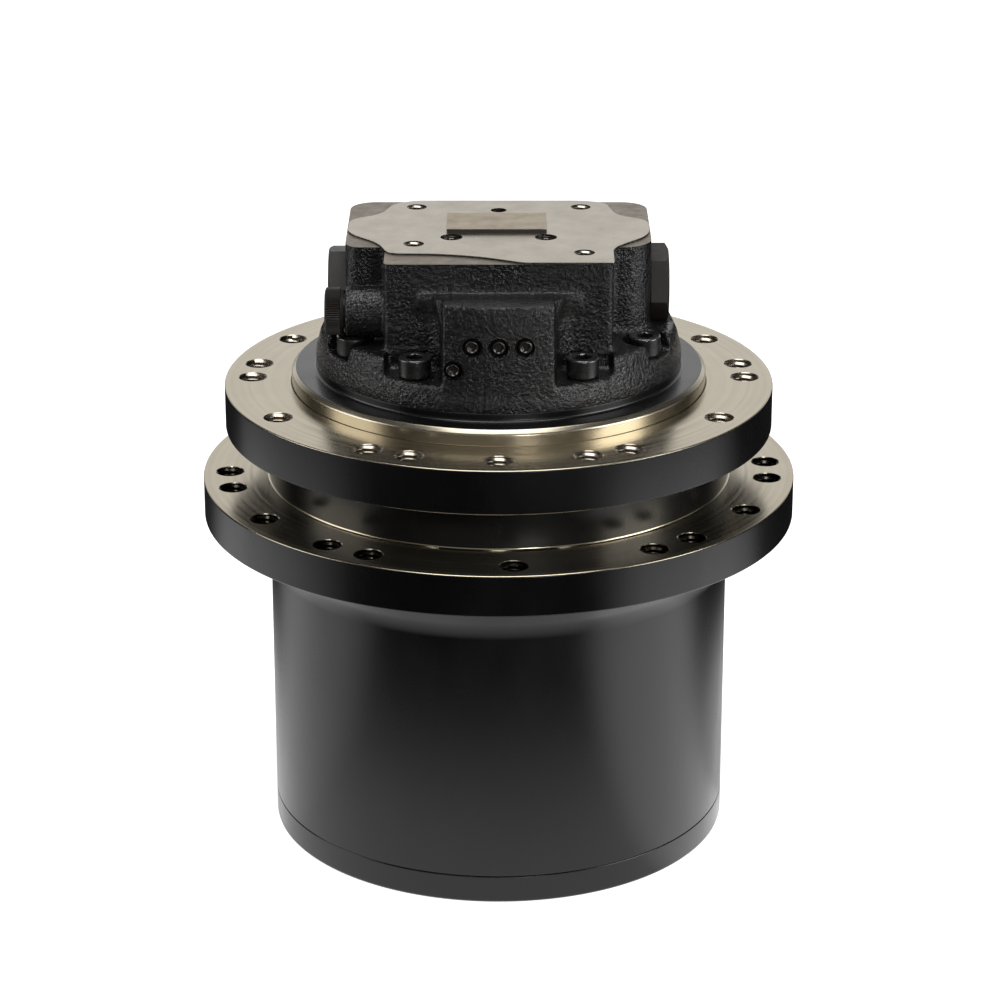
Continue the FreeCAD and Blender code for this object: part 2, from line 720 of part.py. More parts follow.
def make_main_bearings():
    """Two taper roller bearings that face each other, between the spindle and the housing."""
    inner, outer, rollers = [], [], []
    for side, bottom, lean in (("lower", "spindle_bottom", 1), ("upper", "upper_bearing_bottom", -1)):
        middle = f"{bottom} + bearing_width / 2"
        slope = f"{lean} * tan(roller_angle)"
        reach = "(roller_radius + roller_clearance) / cos(roller_angle)"
        top = f"{bottom} + bearing_width"
        half = "bearing_width / 2"
        inner.append(turned(f"inner_race_{side}", [
            ("bearing_inner_radius", bottom),
            (f"bearing_pitch - {reach} - {half} * {slope}", bottom),
            (f"bearing_pitch - {reach} + {half} * {slope}", top),
            ("bearing_inner_radius", top)]))
        outer.append(turned(f"outer_race_{side}", [
            (f"bearing_pitch + {reach} - {half} * {slope}", bottom),
            ("bearing_outer_radius", bottom),
            ("bearing_outer_radius", top),
            (f"bearing_pitch + {reach} + {half} * {slope}", top)]))
        angle = lean * value("roller_angle")
        length = value("roller_length")
        roller = Part.makeCylinder(value("roller_radius"), length, Vector(0, 0, -length / 2))
        place = Placement(Vector(value("bearing_pitch"), 0, number(middle)),
                          Rotation(Vector(0, 1, 0), angle))
        count = int(value("roller_count"))
        rollers += [roller.transformed((turned_to(360 / count * i) * place).toMatrix())
                    for i in range(count)]
    piece("main_bearing_inner_races", bundle("main_bearing_inner_races", inner))
    piece("main_bearing_outer_races", bundle("main_bearing_outer_races", outer))
    piece("main_bearing_rollers", feature("main_bearing_rollers", Part.makeCompound(rollers)))


def make_floating_seal():
    """The face seal between frame and housing: two lapped rings, each on an elastic cord."""
    for name, bottom, top in (("housing", "seal_bottom", "seal_middle"),
                              ("frame", "seal_middle", "seal_top")):
        piece(f"{name}_seal_ring", ring(f"{name}_seal_ring", "seal_outer_radius", "seal_inner_radius",
                                        bottom, top))
        cord = doc.addObject("Part::Torus", f"{name}_seal_cord")
        bind(cord, {"Radius1": "(seal_outer_radius + seal_recess_radius) / 2",
                    "Radius2": "seal_cord_radius",
                    "Placement.Base.z": f"(({bottom}) + ({top})) / 2"})
        piece(f"{name}_seal_cord", cord)


# ---------------------------------------------------------------- gear train
def make_first_carrier():
    """The first stage's carrier with its pins, and the second stage's sun gear that it drives."""
    sun_teeth = int(value("second_sun_teeth"))
    planet_teeth = int(value("second_planet_teeth"))
    start = sun_start(sun_teeth, planet_teeth, second_stage_angle())
    bottom, top = value("first_carrier_bottom"), value("second_planet_top")
    sun = feature("second_sun_teeth", gear_blank(sun_teeth, bottom, top, start))
    bore = cylinder("second_sun_bore", "drive_gear_shaft_radius + 1.5", "first_carrier_bottom",
                    "second_planet_top")
    piece("second_stage_sun_gear", cut("second_stage_sun_gear", sun, bore))
    plate = cylinder("first_carrier_plate", "first_carrier_radius", "first_carrier_bottom",
                     "first_carrier_top")
    spline = feature("first_carrier_spline", gear_blank(sun_teeth, bottom, value("first_carrier_top"),
                                                        start, growth=0.05))
    count = int(value("first_planet_count"))
    angles = [360 / count * index for index in range(count)]
    holes = [cylinder(f"first_pin_hole_{i}", "first_pin_radius", "first_carrier_bottom",
                      "first_carrier_top", on_circle("first_centres", f"{a}"))
             for i, a in enumerate(angles)]
    piece("first_stage_carrier", cut("first_stage_carrier", plate, spline, *holes))
    make_pins("first", angles, "first_carrier_top")


def make_drive_gear():
    """The first stage's sun gear, cut on the end of the shaft that plugs into the motor shaft."""
    teeth = int(value("first_sun_teeth"))
    planet_teeth = int(value("first_planet_teeth"))
    bottom = value("first_planet_bottom") - 3
    teeth_part = feature("drive_gear_teeth",
                         gear_blank(teeth, bottom, value("first_planet_top") + 0.5,
                                    sun_start(teeth, planet_teeth, 0)))
    nose = cylinder("drive_gear_nose", "8", "cover_rim + 3.3", f"{bottom}")
    shaft = cylinder("drive_gear_shaft", "drive_gear_shaft_radius", "first_planet_top",
                     "motor_floor - 5")
    piece("drive_gear", join("drive_gear", teeth_part, nose, shaft))


# ---------------------------------------------------------------- hydraulic motor
def make_shaft():
    """The motor shaft with the rings and rollers of its two bearings and its lip seal."""
    body = turned("motor_shaft_turned", [
        ("drive_gear_shaft_radius + 0.1", "spindle_bottom - 2"),
        ("shaft_radius", "spindle_bottom - 2"),
        ("shaft_radius", "motor_floor"),
        ("shaft_mid_radius", "motor_floor"),
        ("shaft_mid_radius", "block_bottom + 6"),
        ("shaft_spline_radius", "block_bottom + 6"),
        ("shaft_spline_radius", "block_top - 9"),
        ("shaft_upper_radius", "block_top - 9"),
        ("shaft_upper_radius", "seat_top + 4"),
        ("shaft_end_radius", "seat_top + 4"),
        ("shaft_end_radius", "seat_top + 4 + cover_bearing_width"),
        ("0", "seat_top + 4 + cover_bearing_width"),
        ("0", "motor_floor - 3"),
        ("drive_gear_shaft_radius + 0.1", "motor_floor - 3"),
    ])
    piece("motor_shaft", body)
    low = ("motor_floor - shaft_bearing_width", "motor_floor")
    high = ("seat_top + 4", "seat_top + 4 + cover_bearing_width")
    outer = [ring("shaft_outer_race_low", "shaft_bearing_radius", "shaft_bearing_radius - 4.5", *low),
             ring("shaft_outer_race_high", "cover_bearing_radius", "cover_bearing_radius - 3.5", *high)]
    inner = [ring("shaft_inner_race_low", "shaft_radius + 4", "shaft_radius", *low),
             ring("shaft_inner_race_high", "shaft_end_radius + 3", "shaft_end_radius", *high)]
    piece("shaft_bearing_outer_races", bundle("shaft_bearing_outer_races", outer))
    piece("shaft_bearing_inner_races", bundle("shaft_bearing_inner_races", inner))
    rollers = []
    for tag, inside, outside, (bottom, top) in (
            ("low", "shaft_radius + 4", "shaft_bearing_radius - 4.5", low),
            ("high", "shaft_end_radius + 3", "cover_bearing_radius - 3.5", high)):
        radius = f"(({outside}) - ({inside})) / 2 - film_gap"
        circle = f"(({outside}) + ({inside})) / 2"
        rollers += [cylinder(f"shaft_roller_{tag}_{i}", radius, f"{bottom} + 1.5", f"{top} - 1.5",
                             on_circle(circle, f"{i * 36}")) for i in range(10)]
    piece("shaft_bearing_rollers", bundle("shaft_bearing_rollers", rollers))
    piece("shaft_lip_seal", ring("shaft_lip_seal", "shaft_seal_radius", "shaft_radius + film_gap",
                                 "spindle_bottom + 1.7", "motor_floor - shaft_bearing_width - 0.3"))


def make_cylinder_block():
    block = ring("block_blank", "block_radius", "shaft_spline_radius + 0.1", "block_bottom", "block_top")
    tools = []
    for index in range(int(value("piston_count"))):
        place = on_circle("piston_circle", f"{90 + 360 / value('piston_count') * index:.6f}")
        tools.append(cylinder(f"block_bore_{index}", "piston_bore_radius", "block_bottom",
                              "block_top - block_port_depth", place))
        tools.append(cylinder(f"block_port_{index}", "4.5", "block_top - block_port_depth",
                              "block_top", place))
    lugs = [lug_block(f"block_lug_{i}", "2.6", i * 36, "block_radius - 2", "block_radius + 3",
                      "brake_stack_bottom - 3", "brake_stack_top + 2") for i in range(10)]
    piece("cylinder_block", join("cylinder_block", cut("block_bored", block, *tools), *lugs))


def lug_block(name, half_width, turn, start, end, bottom, top):
    """A radial bar at an angle about the axis."""
    item = doc.addObject("Part::Box", name)
    item.Placement = Placement(Vector(), Rotation(Vector(0, 0, 1), turn))
    bind(item, {"Length": f"({end}) - ({start})", "Width": f"2 * {half_width}",
                "Height": f"({top}) - ({bottom})"})
    return bind(item, at(f"({start}) * cos({turn}) + {half_width} * sin({turn})",
                         f"({start}) * sin({turn}) - {half_width} * cos({turn})", bottom))


def make_brake():
    """The parking brake: steel plates on the spindle, friction discs on the block, piston, springs."""
    plates, discs = [], []
    count = int(value("steel_plate_count"))
    for index in range(count):
        bottom = f"brake_stack_bottom + {index} * brake_pitch"
        top = f"{bottom} + steel_plate_thickness"
        plate = ring(f"steel_plate_{index}", "plate_edge_radius - running_gap", "block_radius + 3.4",
                     bottom, top)
        lugs = [lug_block(f"steel_lug_{index}_{i}", "4", i * 60, "plate_edge_radius - 3",
                          "plate_bore_radius - running_gap * 2", bottom, top) for i in range(6)]
        plates.append(join(f"steel_plate_with_lugs_{index}", plate, *lugs))
        if index == count - 1:
            continue
        low = f"{top} + brake_plate_gap"
        disc = ring(f"friction_disc_{index}", "plate_edge_radius - 1", "block_radius + running_gap",
                    low, f"{low} + friction_disc_thickness")
        slots = [lug_block(f"friction_slot_{index}_{i}", "2.75", i * 36, "block_radius - 2",
                           "block_radius + 3.2", low, f"{low} + friction_disc_thickness")
                 for i in range(10)]
        discs.append(cut(f"friction_disc_slotted_{index}", disc, *slots))
    piece("brake_steel_plates", bundle("brake_steel_plates", plates))
    piece("brake_friction_discs", bundle("brake_friction_discs", discs))
    piece("brake_piston", turned("brake_piston", [
        ("block_radius + 4.5", "brake_stack_top + brake_plate_gap"),
        ("plate_edge_radius - 0.3", "brake_stack_top + brake_plate_gap"),
        ("plate_edge_radius - 0.3", "brake_piston_step"),
        ("brake_bore_radius - 0.3", "brake_piston_step"),
        ("brake_bore_radius - 0.3", "brake_piston_top"),
        ("block_radius + 4.5", "brake_piston_top"),
    ]))
    middle = "(brake_piston_top + seat_top) / 2"
    inside, outside = "block_radius + 7.5", "brake_bore_radius - 2"
    lower = turned("disc_spring_lower", [
        (inside, f"{middle} - disc_spring_sheet"), (outside, "brake_piston_top"),
        (outside, "brake_piston_top + disc_spring_sheet"), (inside, middle)])
    upper = turned("disc_spring_upper", [
        (inside, middle), (outside, "seat_top - disc_spring_sheet"), (outside, "seat_top"),
        (inside, f"{middle} + disc_spring_sheet")])
    piece("brake_disc_springs", bundle("brake_disc_springs", [lower, upper]))


def swash_placement():
    """The swash plate's own frame: its centre on the drive's axis and its face normal leaned to -Y."""
    return Placement(Vector(0, 0, value("swash_centre")),
                     Rotation(Vector(1, 0, 0), value("swash_angle")))


def make_swash_group():
    """The swash plate in its cradle, the pistons, their shoes, the retainer plate and its guide."""
    offset, flange = value("shoe_offset"), value("shoe_flange")
    thickness, radius = value("swash_plate_thickness"), value("swash_plate_radius")
    place = swash_placement()
    slab = Part.makeCylinder(radius, thickness, Vector(0, 0, -offset - thickness))
    rails = []
    for start in (-40, 23):
        drum = Part.makeCylinder(value("cradle_radius"), 17, Vector(start, 0, 0), Vector(1, 0, 0))
        keep = Part.makeBox(17, 60, 40, Vector(start, -30, -offset - thickness - 40))
        rails.append(drum.common(keep))
    hole = Part.makeCylinder(21.5, thickness + 1, Vector(0, 0, -offset - thickness - 0.5))
    swash = slab.cut(hole).fuse(rails).removeSplitter()
    piece("swash_plate", feature("swash_plate", swash.transformed(place.toMatrix())))

    shoes, pistons, holes = [], [], []
    lean = math.radians(value("swash_angle"))
    count = int(value("piston_count"))
    ball, cup = value("piston_ball_radius"), value("shoe_cup_radius")
    circle, body_radius = value("piston_circle"), value("piston_radius")
    for index in range(count):
        angle = math.pi / 2 + 2 * math.pi * index / count
        x, y = circle * math.cos(angle), circle * math.sin(angle)
        in_plane = Vector(x, y / math.cos(lean), 0)
        sole = in_plane - Vector(0, 0, offset)
        shoe = Part.makeCylinder(value("shoe_radius"), flange, sole)
        shoe = shoe.fuse(Part.makeCylinder(cup, offset + 2.5 - flange, sole + Vector(0, 0, flange)))
        shoe = shoe.cut(Part.makeSphere(ball + 0.2, in_plane))
        shoes.append(shoe.transformed(place.toMatrix()))
        holes.append(Part.makeCylinder(cup + 1.2, 4, in_plane - Vector(0, 0, offset - flange + 0.5)))
        centre = place.multVec(in_plane)
        neck = Part.makeCylinder(3.2, 7, centre)
        skirt = Part.makeCone(3.2, body_radius, 3, centre + Vector(0, 0, 5))
        rod_part = Part.makeCylinder(body_radius, value("piston_length"), centre + Vector(0, 0, 8))
        pistons.append(Part.makeSphere(ball, centre).fuse([neck, skirt, rod_part]).removeSplitter())
    piece("piston_shoes", feature("piston_shoes", Part.makeCompound(shoes)))
    piece("pistons", feature("pistons", Part.makeCompound(pistons)))
    low = -offset + flange + 0.1
    plate = Part.makeCylinder(41, 2.6, Vector(0, 0, low))
    plate = plate.cut(Part.makeSphere(value("guide_radius") + 0.3)).cut(Part.makeCompound(holes))
    piece("shoe_retainer_plate", feature("shoe_retainer_plate", plate.transformed(place.toMatrix())))
    ball_guide = Part.makeSphere(value("guide_radius"), Vector(0, 0, value("swash_centre")))
    slice_tool = Part.makeCylinder(30, 18, Vector(0, 0, value("swash_centre") - 6))
    bore = Part.makeCylinder(value("shaft_mid_radius"), 60, Vector(0, 0, value("swash_centre") - 30))
    piece("retainer_guide", feature("retainer_guide", ball_guide.common(slice_tool).cut(bore)))


def make_control_piston():
    """The two-speed piston that lifts the swash plate's low edge, in a bore beside the shaft bearing."""
    depth = 38
    lean = math.radians(value("swash_angle"))
    back = (value("shoe_offset") + value("swash_plate_thickness")) / math.cos(lean)
    top = value("swash_centre") - depth * math.tan(lean) - back - 0.5
    dome = Part.makeSphere(6, Vector(0, -depth, top - 6))
    bottom = value("motor_floor") - 16.7
    body = Part.makeCylinder(4.5, top - bottom, Vector(0, -depth, bottom))
    low = Part.makeCylinder(4.5, top - 6 - bottom, Vector(0, -depth, bottom))
    piece("swash_control_piston", feature("swash_control_piston",
                                          body.common(dome).fuse(low).removeSplitter()))


def make_valve_plate():
    plate = ring("valve_plate_blank", "valve_plate_radius", "valve_plate_bore", "block_top", "seat_top")
    tools = []
    for side, turn in (("pressure", -65), ("return", 115)):
        for part, radius in (("outer", "piston_circle + 4"), ("inner", "piston_circle - 4")):
            item = cylinder(f"{side}_kidney_{part}", radius, "block_top", "seat_top")
            item.Placement = Placement(Vector(), Rotation(Vector(0, 0, 1), turn))
            item.Angle = 130
            tools.append(item)
    kidneys = [cut("pressure_kidney", tools[0], tools[1]), cut("return_kidney", tools[2], tools[3])]
    piece("valve_plate", cut("valve_plate", plate, *kidneys))


# ---------------------------------------------------------------- motor cover
def rounded_wire(corners, level):
    """A closed wire through (x, y, radius) corners, with a tangent arc in place of each corner."""
    points = [Vector(x, y, level) for x, y, _ in corners]
    edges, ends = [], []
    for index, (_, _, radius) in enumerate(corners):
        corner = points[index]
        back = (points[index - 1] - corner).normalize()
        ahead = (points[(index + 1) % len(points)] - corner).normalize()
        half = back.getAngle(ahead) / 2
        reach = radius / math.tan(half)
        middle = (back + ahead).normalize() * (radius / math.sin(half) - radius)
        ends.append((corner + back * reach, corner + middle, corner + ahead * reach))
    for index, (start, middle, end) in enumerate(ends):
        edges.append(Part.Arc(start, middle, end).toShape())
        edges.append(Part.makeLine(end, ends[(index + 1) % len(ends)][0]))
    return Part.Wire(edges)


def cast_outline():
    """The valve block's outline: narrow at the front, with wider shoulders behind."""
    half, wide = value("block_half_width"), value("shoulder_half_width")
    front, rear, shoulder = -value("block_front"), value("block_rear"), -value("shoulder_front")
    return [(-half, front, 3), (half, front, 3), (half, shoulder, 3), (wide, shoulder, 15),
            (wide, rear, 13), (-wide, rear, 13), (-wide, shoulder, 9), (-half, shoulder, 3)]


def machined_outline():
    """The milled top face, a millimetre above the cast top, which shows at its corners and step."""
    half, wide = value("block_half_width"), value("shoulder_half_width")
    front, rear, shoulder = -value("block_front"), value("block_rear"), -value("shoulder_front")
    return [(half, front, 1.5), (half, shoulder - 2, 8), (wide, shoulder + 18, 9), (wide, 20, 5),
            (half + 4, 27, 8), (half - 2, 44, 6), (half - 2, rear - 0.5, 2),
            (2 - half, rear - 0.5, 2), (2 - half, 44, 6), (-half - 4, 27, 8), (-wide, 20, 5),
            (-wide, shoulder + 24, 6), (-half - 3, shoulder, 8), (3 - half, front + 16, 5),
            (-18, front + 16, 20), (12, front, 1)]


def slab(name, outline, bottom, top):
    face = Part.Face(rounded_wire(outline, value(bottom)))
    return feature(name, face.extrude(Vector(0, 0, value(top) - value(bottom))))


def make_motor_cover():
    """The brake valve cover: a round base with screw pockets under a valve block."""
    base = turned("cover_base", [
        ("0", "seat_top"), ("seat_radius - 0.5", "seat_top"), ("seat_radius", "seat_top + 0.5"),
        ("seat_radius", "seat_top + 4"), ("rim_top_radius", "rim_top"), ("0", "rim_top")])
    pockets = []
    for sign, tag in ((-1, "left"), (1, "right")):
        near, far = sorted((f"{sign} * front_boss_half_width", f"{sign} * (block_half_width - 0.5)"),
                           key=number)
        for end, (start, stop) in (("front", ("-100", "-block_front - 0.5")),
                                   ("rear", ("block_rear + 0.5", "100"))):
            pockets.append(box(f"{end}_pocket_{tag}", (near, far), (start, stop),
                               ("pocket_level", "rim_top + 1")))
        pockets.append(cylinder(f"side_pocket_{tag}", "13.5", "pocket_level", "rim_top + 1",
                                at(f"{sign} * 75", "-39")))
    block = slab("valve_block", cast_outline(), "rim_top", "cast_top")
    foot = slab("valve_block_foot", cast_outline()[:3] + cast_outline()[-1:], "pocket_level", "rim_top")
    pad = slab("machined_pad", machined_outline(), "cast_top", "cover_top")
    boss_round = cylinder("front_boss_round", "front_boss_radius", "seat_top + 1",
                          "seat_top + front_boss_height")
    boss_box = box("front_boss_box", ("-front_boss_half_width", "front_boss_half_width"),
                   ("-100", "-block_front + 6"), ("seat_top + 1", "seat_top + front_boss_height"))
    boss = doc.addObject("Part::Common", "front_boss")
    boss.Base, boss.Tool = boss_round, boss_box
    pilot = rod("pilot_boss", Vector(-1, 0, 0), "pilot_boss_radius",
                at("-block_half_width + 6", "-pilot_boss_depth", "spool_level"),
                "shoulder_half_width - block_half_width + 6")
    solid = join("motor_cover_solid", cut("cover_base_pocketed", base, *pockets), block, foot, pad,
                 boss, pilot)
    piece("motor_cover", cut("motor_cover", solid, *cover_bores()))


def gauge_plug_places():
    """The four hexagon socket plugs on the front boss, as (across, height above the seat)."""
    return [(-12.8, 32.4), (0, 32.4), (12.8, 32.4), (-22, 20.2)]


def cover_bores():
    """Everything that is bored into the motor cover."""
    tools = [cylinder("cover_bearing_bore", "cover_bearing_radius", "seat_top",
                      "seat_top + cover_bearing_width + 4.5")]
    for index, angle in enumerate(cover_screw_angles()):
        tools.append(cylinder(f"cover_pass_{index}", "5.5", "seat_top", "pocket_level",
                              on_circle("cover_screw_circle", f"{angle}")))
    tools.append(rod("spool_bore", Vector(1, 0, 0), "spool_radius + running_gap",
                     at("-shoulder_half_width", "spool_depth", "spool_level"),
                     "2 * shoulder_half_width"))
    for sign, tag in ((-1, "left"), (1, "right")):
        tools.append(rod(f"cap_bore_{tag}", Vector(sign, 0, 0), "14",
                         at(f"{sign} * (shoulder_half_width - 12)", "spool_depth", "spool_level"),
                         "12"))
        tools.append(rod(f"cap_recess_{tag}", Vector(sign, 0, 0), "22.5",
                         at(f"{sign} * shoulder_half_width", "spool_depth", "spool_level"), "20"))
    tools.append(rod("pilot_spool_bore", Vector(-1, 0, 0), "pilot_spool_radius + running_gap",
                     at("-26", "-pilot_boss_depth", "spool_level"), "shoulder_half_width - 26"))
    tools.append(rod("pilot_cap_bore", Vector(-1, 0, 0), "8.4",
                     at("-shoulder_half_width + 10", "-pilot_boss_depth", "spool_level"), "10"))
    for index, (x, y) in enumerate(((-42, 43), (42, 43), (-42, -24), (42, -39.3))):
        tools.append(cylinder(f"top_thread_{index}", "4.25", "cover_top - 20", "cover_top",
                              at(f"{x}", f"{y}")))
    tools.append(cylinder("top_gauge_hole", "4", "cover_top - 12", "cover_top", at("0", "37")))
    for x in (-23.5, 23.5):
        tag = "left" if x < 0 else "right"
        tools.append(cylinder(f"top_plug_seat_{tag}", "5.5", "cover_top - 2.4", "cover_top",
                              at(f"{x}", "-12.4")))
        tools.append(cylinder(f"top_plug_hole_{tag}", "5", "cover_top - 14", "cover_top - 2.4",
                              at(f"{x}", "-12.4")))
    for index, (x, z) in enumerate(gauge_plug_places()):
        start = at(f"{x}", "-front_boss_radius + 14", f"seat_top + {z}")
        tools.append(rod(f"gauge_hole_{index}", Vector(0, -1, 0), "4", start, "16"))
        face = f"-sqrt(front_boss_radius * front_boss_radius - {x * x}) + 1.8"
        tools.append(rod(f"gauge_seat_{index}", Vector(0, -1, 0), "4.9",
                         at(f"{x}", face, f"seat_top + {z}"), "4"))
    for x in ("-main_port_spacing / 2", "main_port_spacing / 2"):
        tag = "left" if x.startswith("-") else "right"
        tools.append(rod(f"main_port_{tag}", Vector(0, 1, 0), "main_port_radius",
                         at(x, "block_rear - main_port_depth", "spool_level"), "main_port_depth"))
        tools.append(rod(f"main_port_face_{tag}", Vector(0, 1, 0), "15",
                         at(x, "block_rear - 1", "spool_level"), "1"))
    tools.append(rod("drain_port", Vector(0, 1, 0), "5.9",
                     at("0", "block_rear - 14", "seat_top + 52"), "14"))
    return tools


def make_cover_fittings():
    """Screws, seal cord, plugs, spool caps and the blank name plate."""
    screw = socket_screw("motor_cover_screw", "5", "10", "30")
    seat, circle = value("pocket_level"), value("cover_screw_circle")
    copies("motor_cover_screws", screw,
           [turned_to(angle) * Placement(Vector(circle, 0, seat), Rotation())
            for angle in cover_screw_angles()])
    piece("motor_cover_seal", ring("motor_cover_seal", "brake_bore_radius + 4.7",
                                   "brake_bore_radius + 1.8", "seat_top - 2.4", "seat_top"))
    plug = socket_screw("gauge_plug", "3.99 / 1.6", "7", "1")
    doc.recompute()
    places = []
    for x, z in gauge_plug_places():
        face = -math.sqrt(value("front_boss_radius") ** 2 - x * x) + 2.2
        places.append(Placement(Vector(x, face + 7, value("seat_top") + z),
                                Rotation(Vector(1, 0, 0), 90)))
    copies("gauge_port_plugs", plug, places)
    top_plug = socket_screw("top_plug", "4.98 / 1.6", "7", "3")
    copies("top_port_plugs", top_plug,
           [Placement(Vector(x, -12.4, value("cover_top") - 9.8), Rotation()) for x in (-23.5, 23.5)])
    piece("spool_caps", feature("spool_caps", Part.makeCompound([spool_cap(-1, 12), spool_cap(1, 20)])))
    piece("knurled_port_cap", feature("knurled_port_cap", knurled_cap()))
    width, depth = "name_plate_width", "name_plate_depth"
    piece("name_plate", box("name_plate", (f"-{width} / 2 - 1", f"{width} / 2 - 1"),
                            ("-4.8", f"{depth} - 4.8"),
                            ("cover_top", "cover_top + name_plate_thickness")))


def along_x(shape, sign, x, y, z):
    """Lay a shape that was made along Z so that it points along +X or -X from a place."""
    place = Placement(Vector(x, y, z), Rotation(Vector(0, 1, 0), 90 * sign))
    return shape.transformed(place.toMatrix())


def spool_cap(sign, lean):
    """A hexagon head plug that closes one end of the spool bore."""
    corner = 18 / math.cos(math.radians(30))
    start = math.radians(lean + 30)
    corners = [Vector(corner * math.cos(start + math.pi / 3 * i), corner * math.sin(start + math.pi / 3 * i))
               for i in range(6)]
    head = prism(corners, 0.4, 9.6).common(Part.makeCone(26, 18.2, 13.5, Vector(0, 0, 0)).fuse(
        Part.makeCylinder(26, 0.5)))
    shank = Part.makeCylinder(13.98, 12.4, Vector(0, 0, -12))
    return along_x(head.fuse(shank), sign, sign * value("shoulder_half_width"), value("spool_depth"),
                   value("spool_level"))


def knurled_cap():
    """The finger-tight cap on the two-speed pilot port, with straight knurling round its rim."""
    teeth = 60
    corners = []
    for index in range(2 * teeth):
        radius = 11.8 if index % 2 else 11.2
        corners.append(Vector(radius * math.cos(math.pi * index / teeth),
                              radius * math.sin(math.pi * index / teeth)))
    rim = prism(corners, 2, 9)
    body = Part.makeCone(10, 11, 1.6, Vector(0, 0, 0.4)).fuse(Part.makeCone(11, 10.2, 0.6, Vector(0, 0, 9)))
    shank = Part.makeCylinder(8.38, 9, Vector(0, 0, -8.6))
    return along_x(rim.fuse([body, shank]), -1, -value("shoulder_half_width"),
                   -value("pilot_boss_depth"), value("spool_level"))


def coil(mean_radius, wire_radius, length, turns):
    """A helical spring along Z from zero, with its wire's centre line inside both ends."""
    rise = length - 2 * wire_radius
    helix = Part.makeHelix(rise / turns, rise, mean_radius)
    section = Part.Wire(Part.makeCircle(wire_radius, Vector(mean_radius, 0, 0), Vector(0, 1, 0)))
    spring = Part.Wire(helix.Edges).makePipeShell([section], True, True)
    spring.translate(Vector(0, 0, wire_radius))
    return spring


def make_spools():
    """The counterbalance spool between its springs, and the two-speed pilot spool with its spring."""
    radius, length = value("spool_radius"), value("spool_length")
    spool = Part.makeCylinder(radius, length)
    for start, width in ((10, 6), (24, 14), (54, 14), (76, 6)):
        groove = Part.makeCylinder(radius + 1, width, Vector(0, 0, start))
        spool = spool.cut(groove.cut(Part.makeCylinder(radius - 3, width, Vector(0, 0, start))))
    depth, level = value("spool_depth"), value("spool_level")
    piece("counterbalance_spool", feature("counterbalance_spool",
                                          along_x(spool, 1, -length / 2, depth, level)))
    gap = value("shoulder_half_width") - 12 - length / 2
    springs = [along_x(coil(6.5, 1.1, gap, 5), sign, sign * length / 2, depth, level)
               for sign in (-1, 1)]
    piece("counterbalance_springs", feature("counterbalance_springs", Part.makeCompound(springs)))
    pilot_radius = value("pilot_spool_radius")
    pilot = Part.makeCylinder(pilot_radius, 28)
    pilot = pilot.cut(Part.makeCylinder(pilot_radius + 1, 8, Vector(0, 0, 10)).cut(
        Part.makeCylinder(pilot_radius - 2, 8, Vector(0, 0, 10))))
    pilot_depth = -value("pilot_boss_depth")
    piece("two_speed_spool", feature("two_speed_spool", along_x(pilot, -1, -39, pilot_depth, level)))
    piece("two_speed_spring", feature("two_speed_spring",
                                      along_x(coil(3.4, 0.7, 13, 6), 1, -39, pilot_depth, level)))


def make_hold_down_spring():
    """The disc spring between the retainer guide and the cylinder block."""
    bottom, inside, outside = "swash_centre + 12", "shaft_mid_radius + 0.5", "shaft_spline_radius + 4.5"
    piece("block_hold_down_spring", turned("block_hold_down_spring", [
        (inside, bottom), (outside, "block_bottom - 1.2"), (outside, "block_bottom"),
        (inside, f"{bottom} + 1.2")]))


# ---------------------------------------------------------------- build, test and write
def main():
    fill_sheets()
    make_housing()
    make_gearbox_cover()
    make_spindle()
    make_carrier_plate()
    make_main_bearings()
    make_floating_seal()
    make_first_carrier()
    make_drive_gear()
    make_planets("first", 0, value("first_pin_radius") + value("pin_clearance"))
    make_planets("second", second_stage_angle(), value("second_pin_radius") + value("pin_clearance"))
    make_shaft()
    make_cylinder_block()
    make_brake()
    make_swash_group()
    make_control_piston()
    make_hold_down_spring()
    make_valve_plate()
    make_motor_cover()
    make_cover_fittings()
    make_spools()
    doc.recompute()
    failed = [item.Name for item in doc.Objects if {"Invalid", "Error"} & set(item.State)]
    if failed:
        raise RuntimeError("these objects did not build: " + ", ".join(failed))
    os.makedirs("parts", exist_ok=True)
    for item in PIECES:
        shape = item.Shape
        if shape.isNull() or not shape.isValid() or not shape.Solids:
            raise RuntimeError(item.Label + " has no valid solid")
    for item in PIECES:
        item.Shape.exportStep(f"parts/{item.Label}.step")
        print(f"{item.Label:32} {len(item.Shape.Solids):3} solids {item.Shape.Volume / 1000:10.2f} cm3")


main()
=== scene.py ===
# %% [markdown]
# # A final drive and its finishes
# A final drive is the travel motor and planetary gearbox at one end of an excavator's track.
# The solids come ready made from the imported frame, in metres, with their joints. This script gives
# them their looks: painted, cast, turned and milled surfaces, real threads, and soft cast edges.
# It starts by loading the frame, and reads the boxes of its solids, which give some sizes later.

# %% Load the frame
import json
import math

import bmesh
import bpy
from mathutils import Matrix, Vector


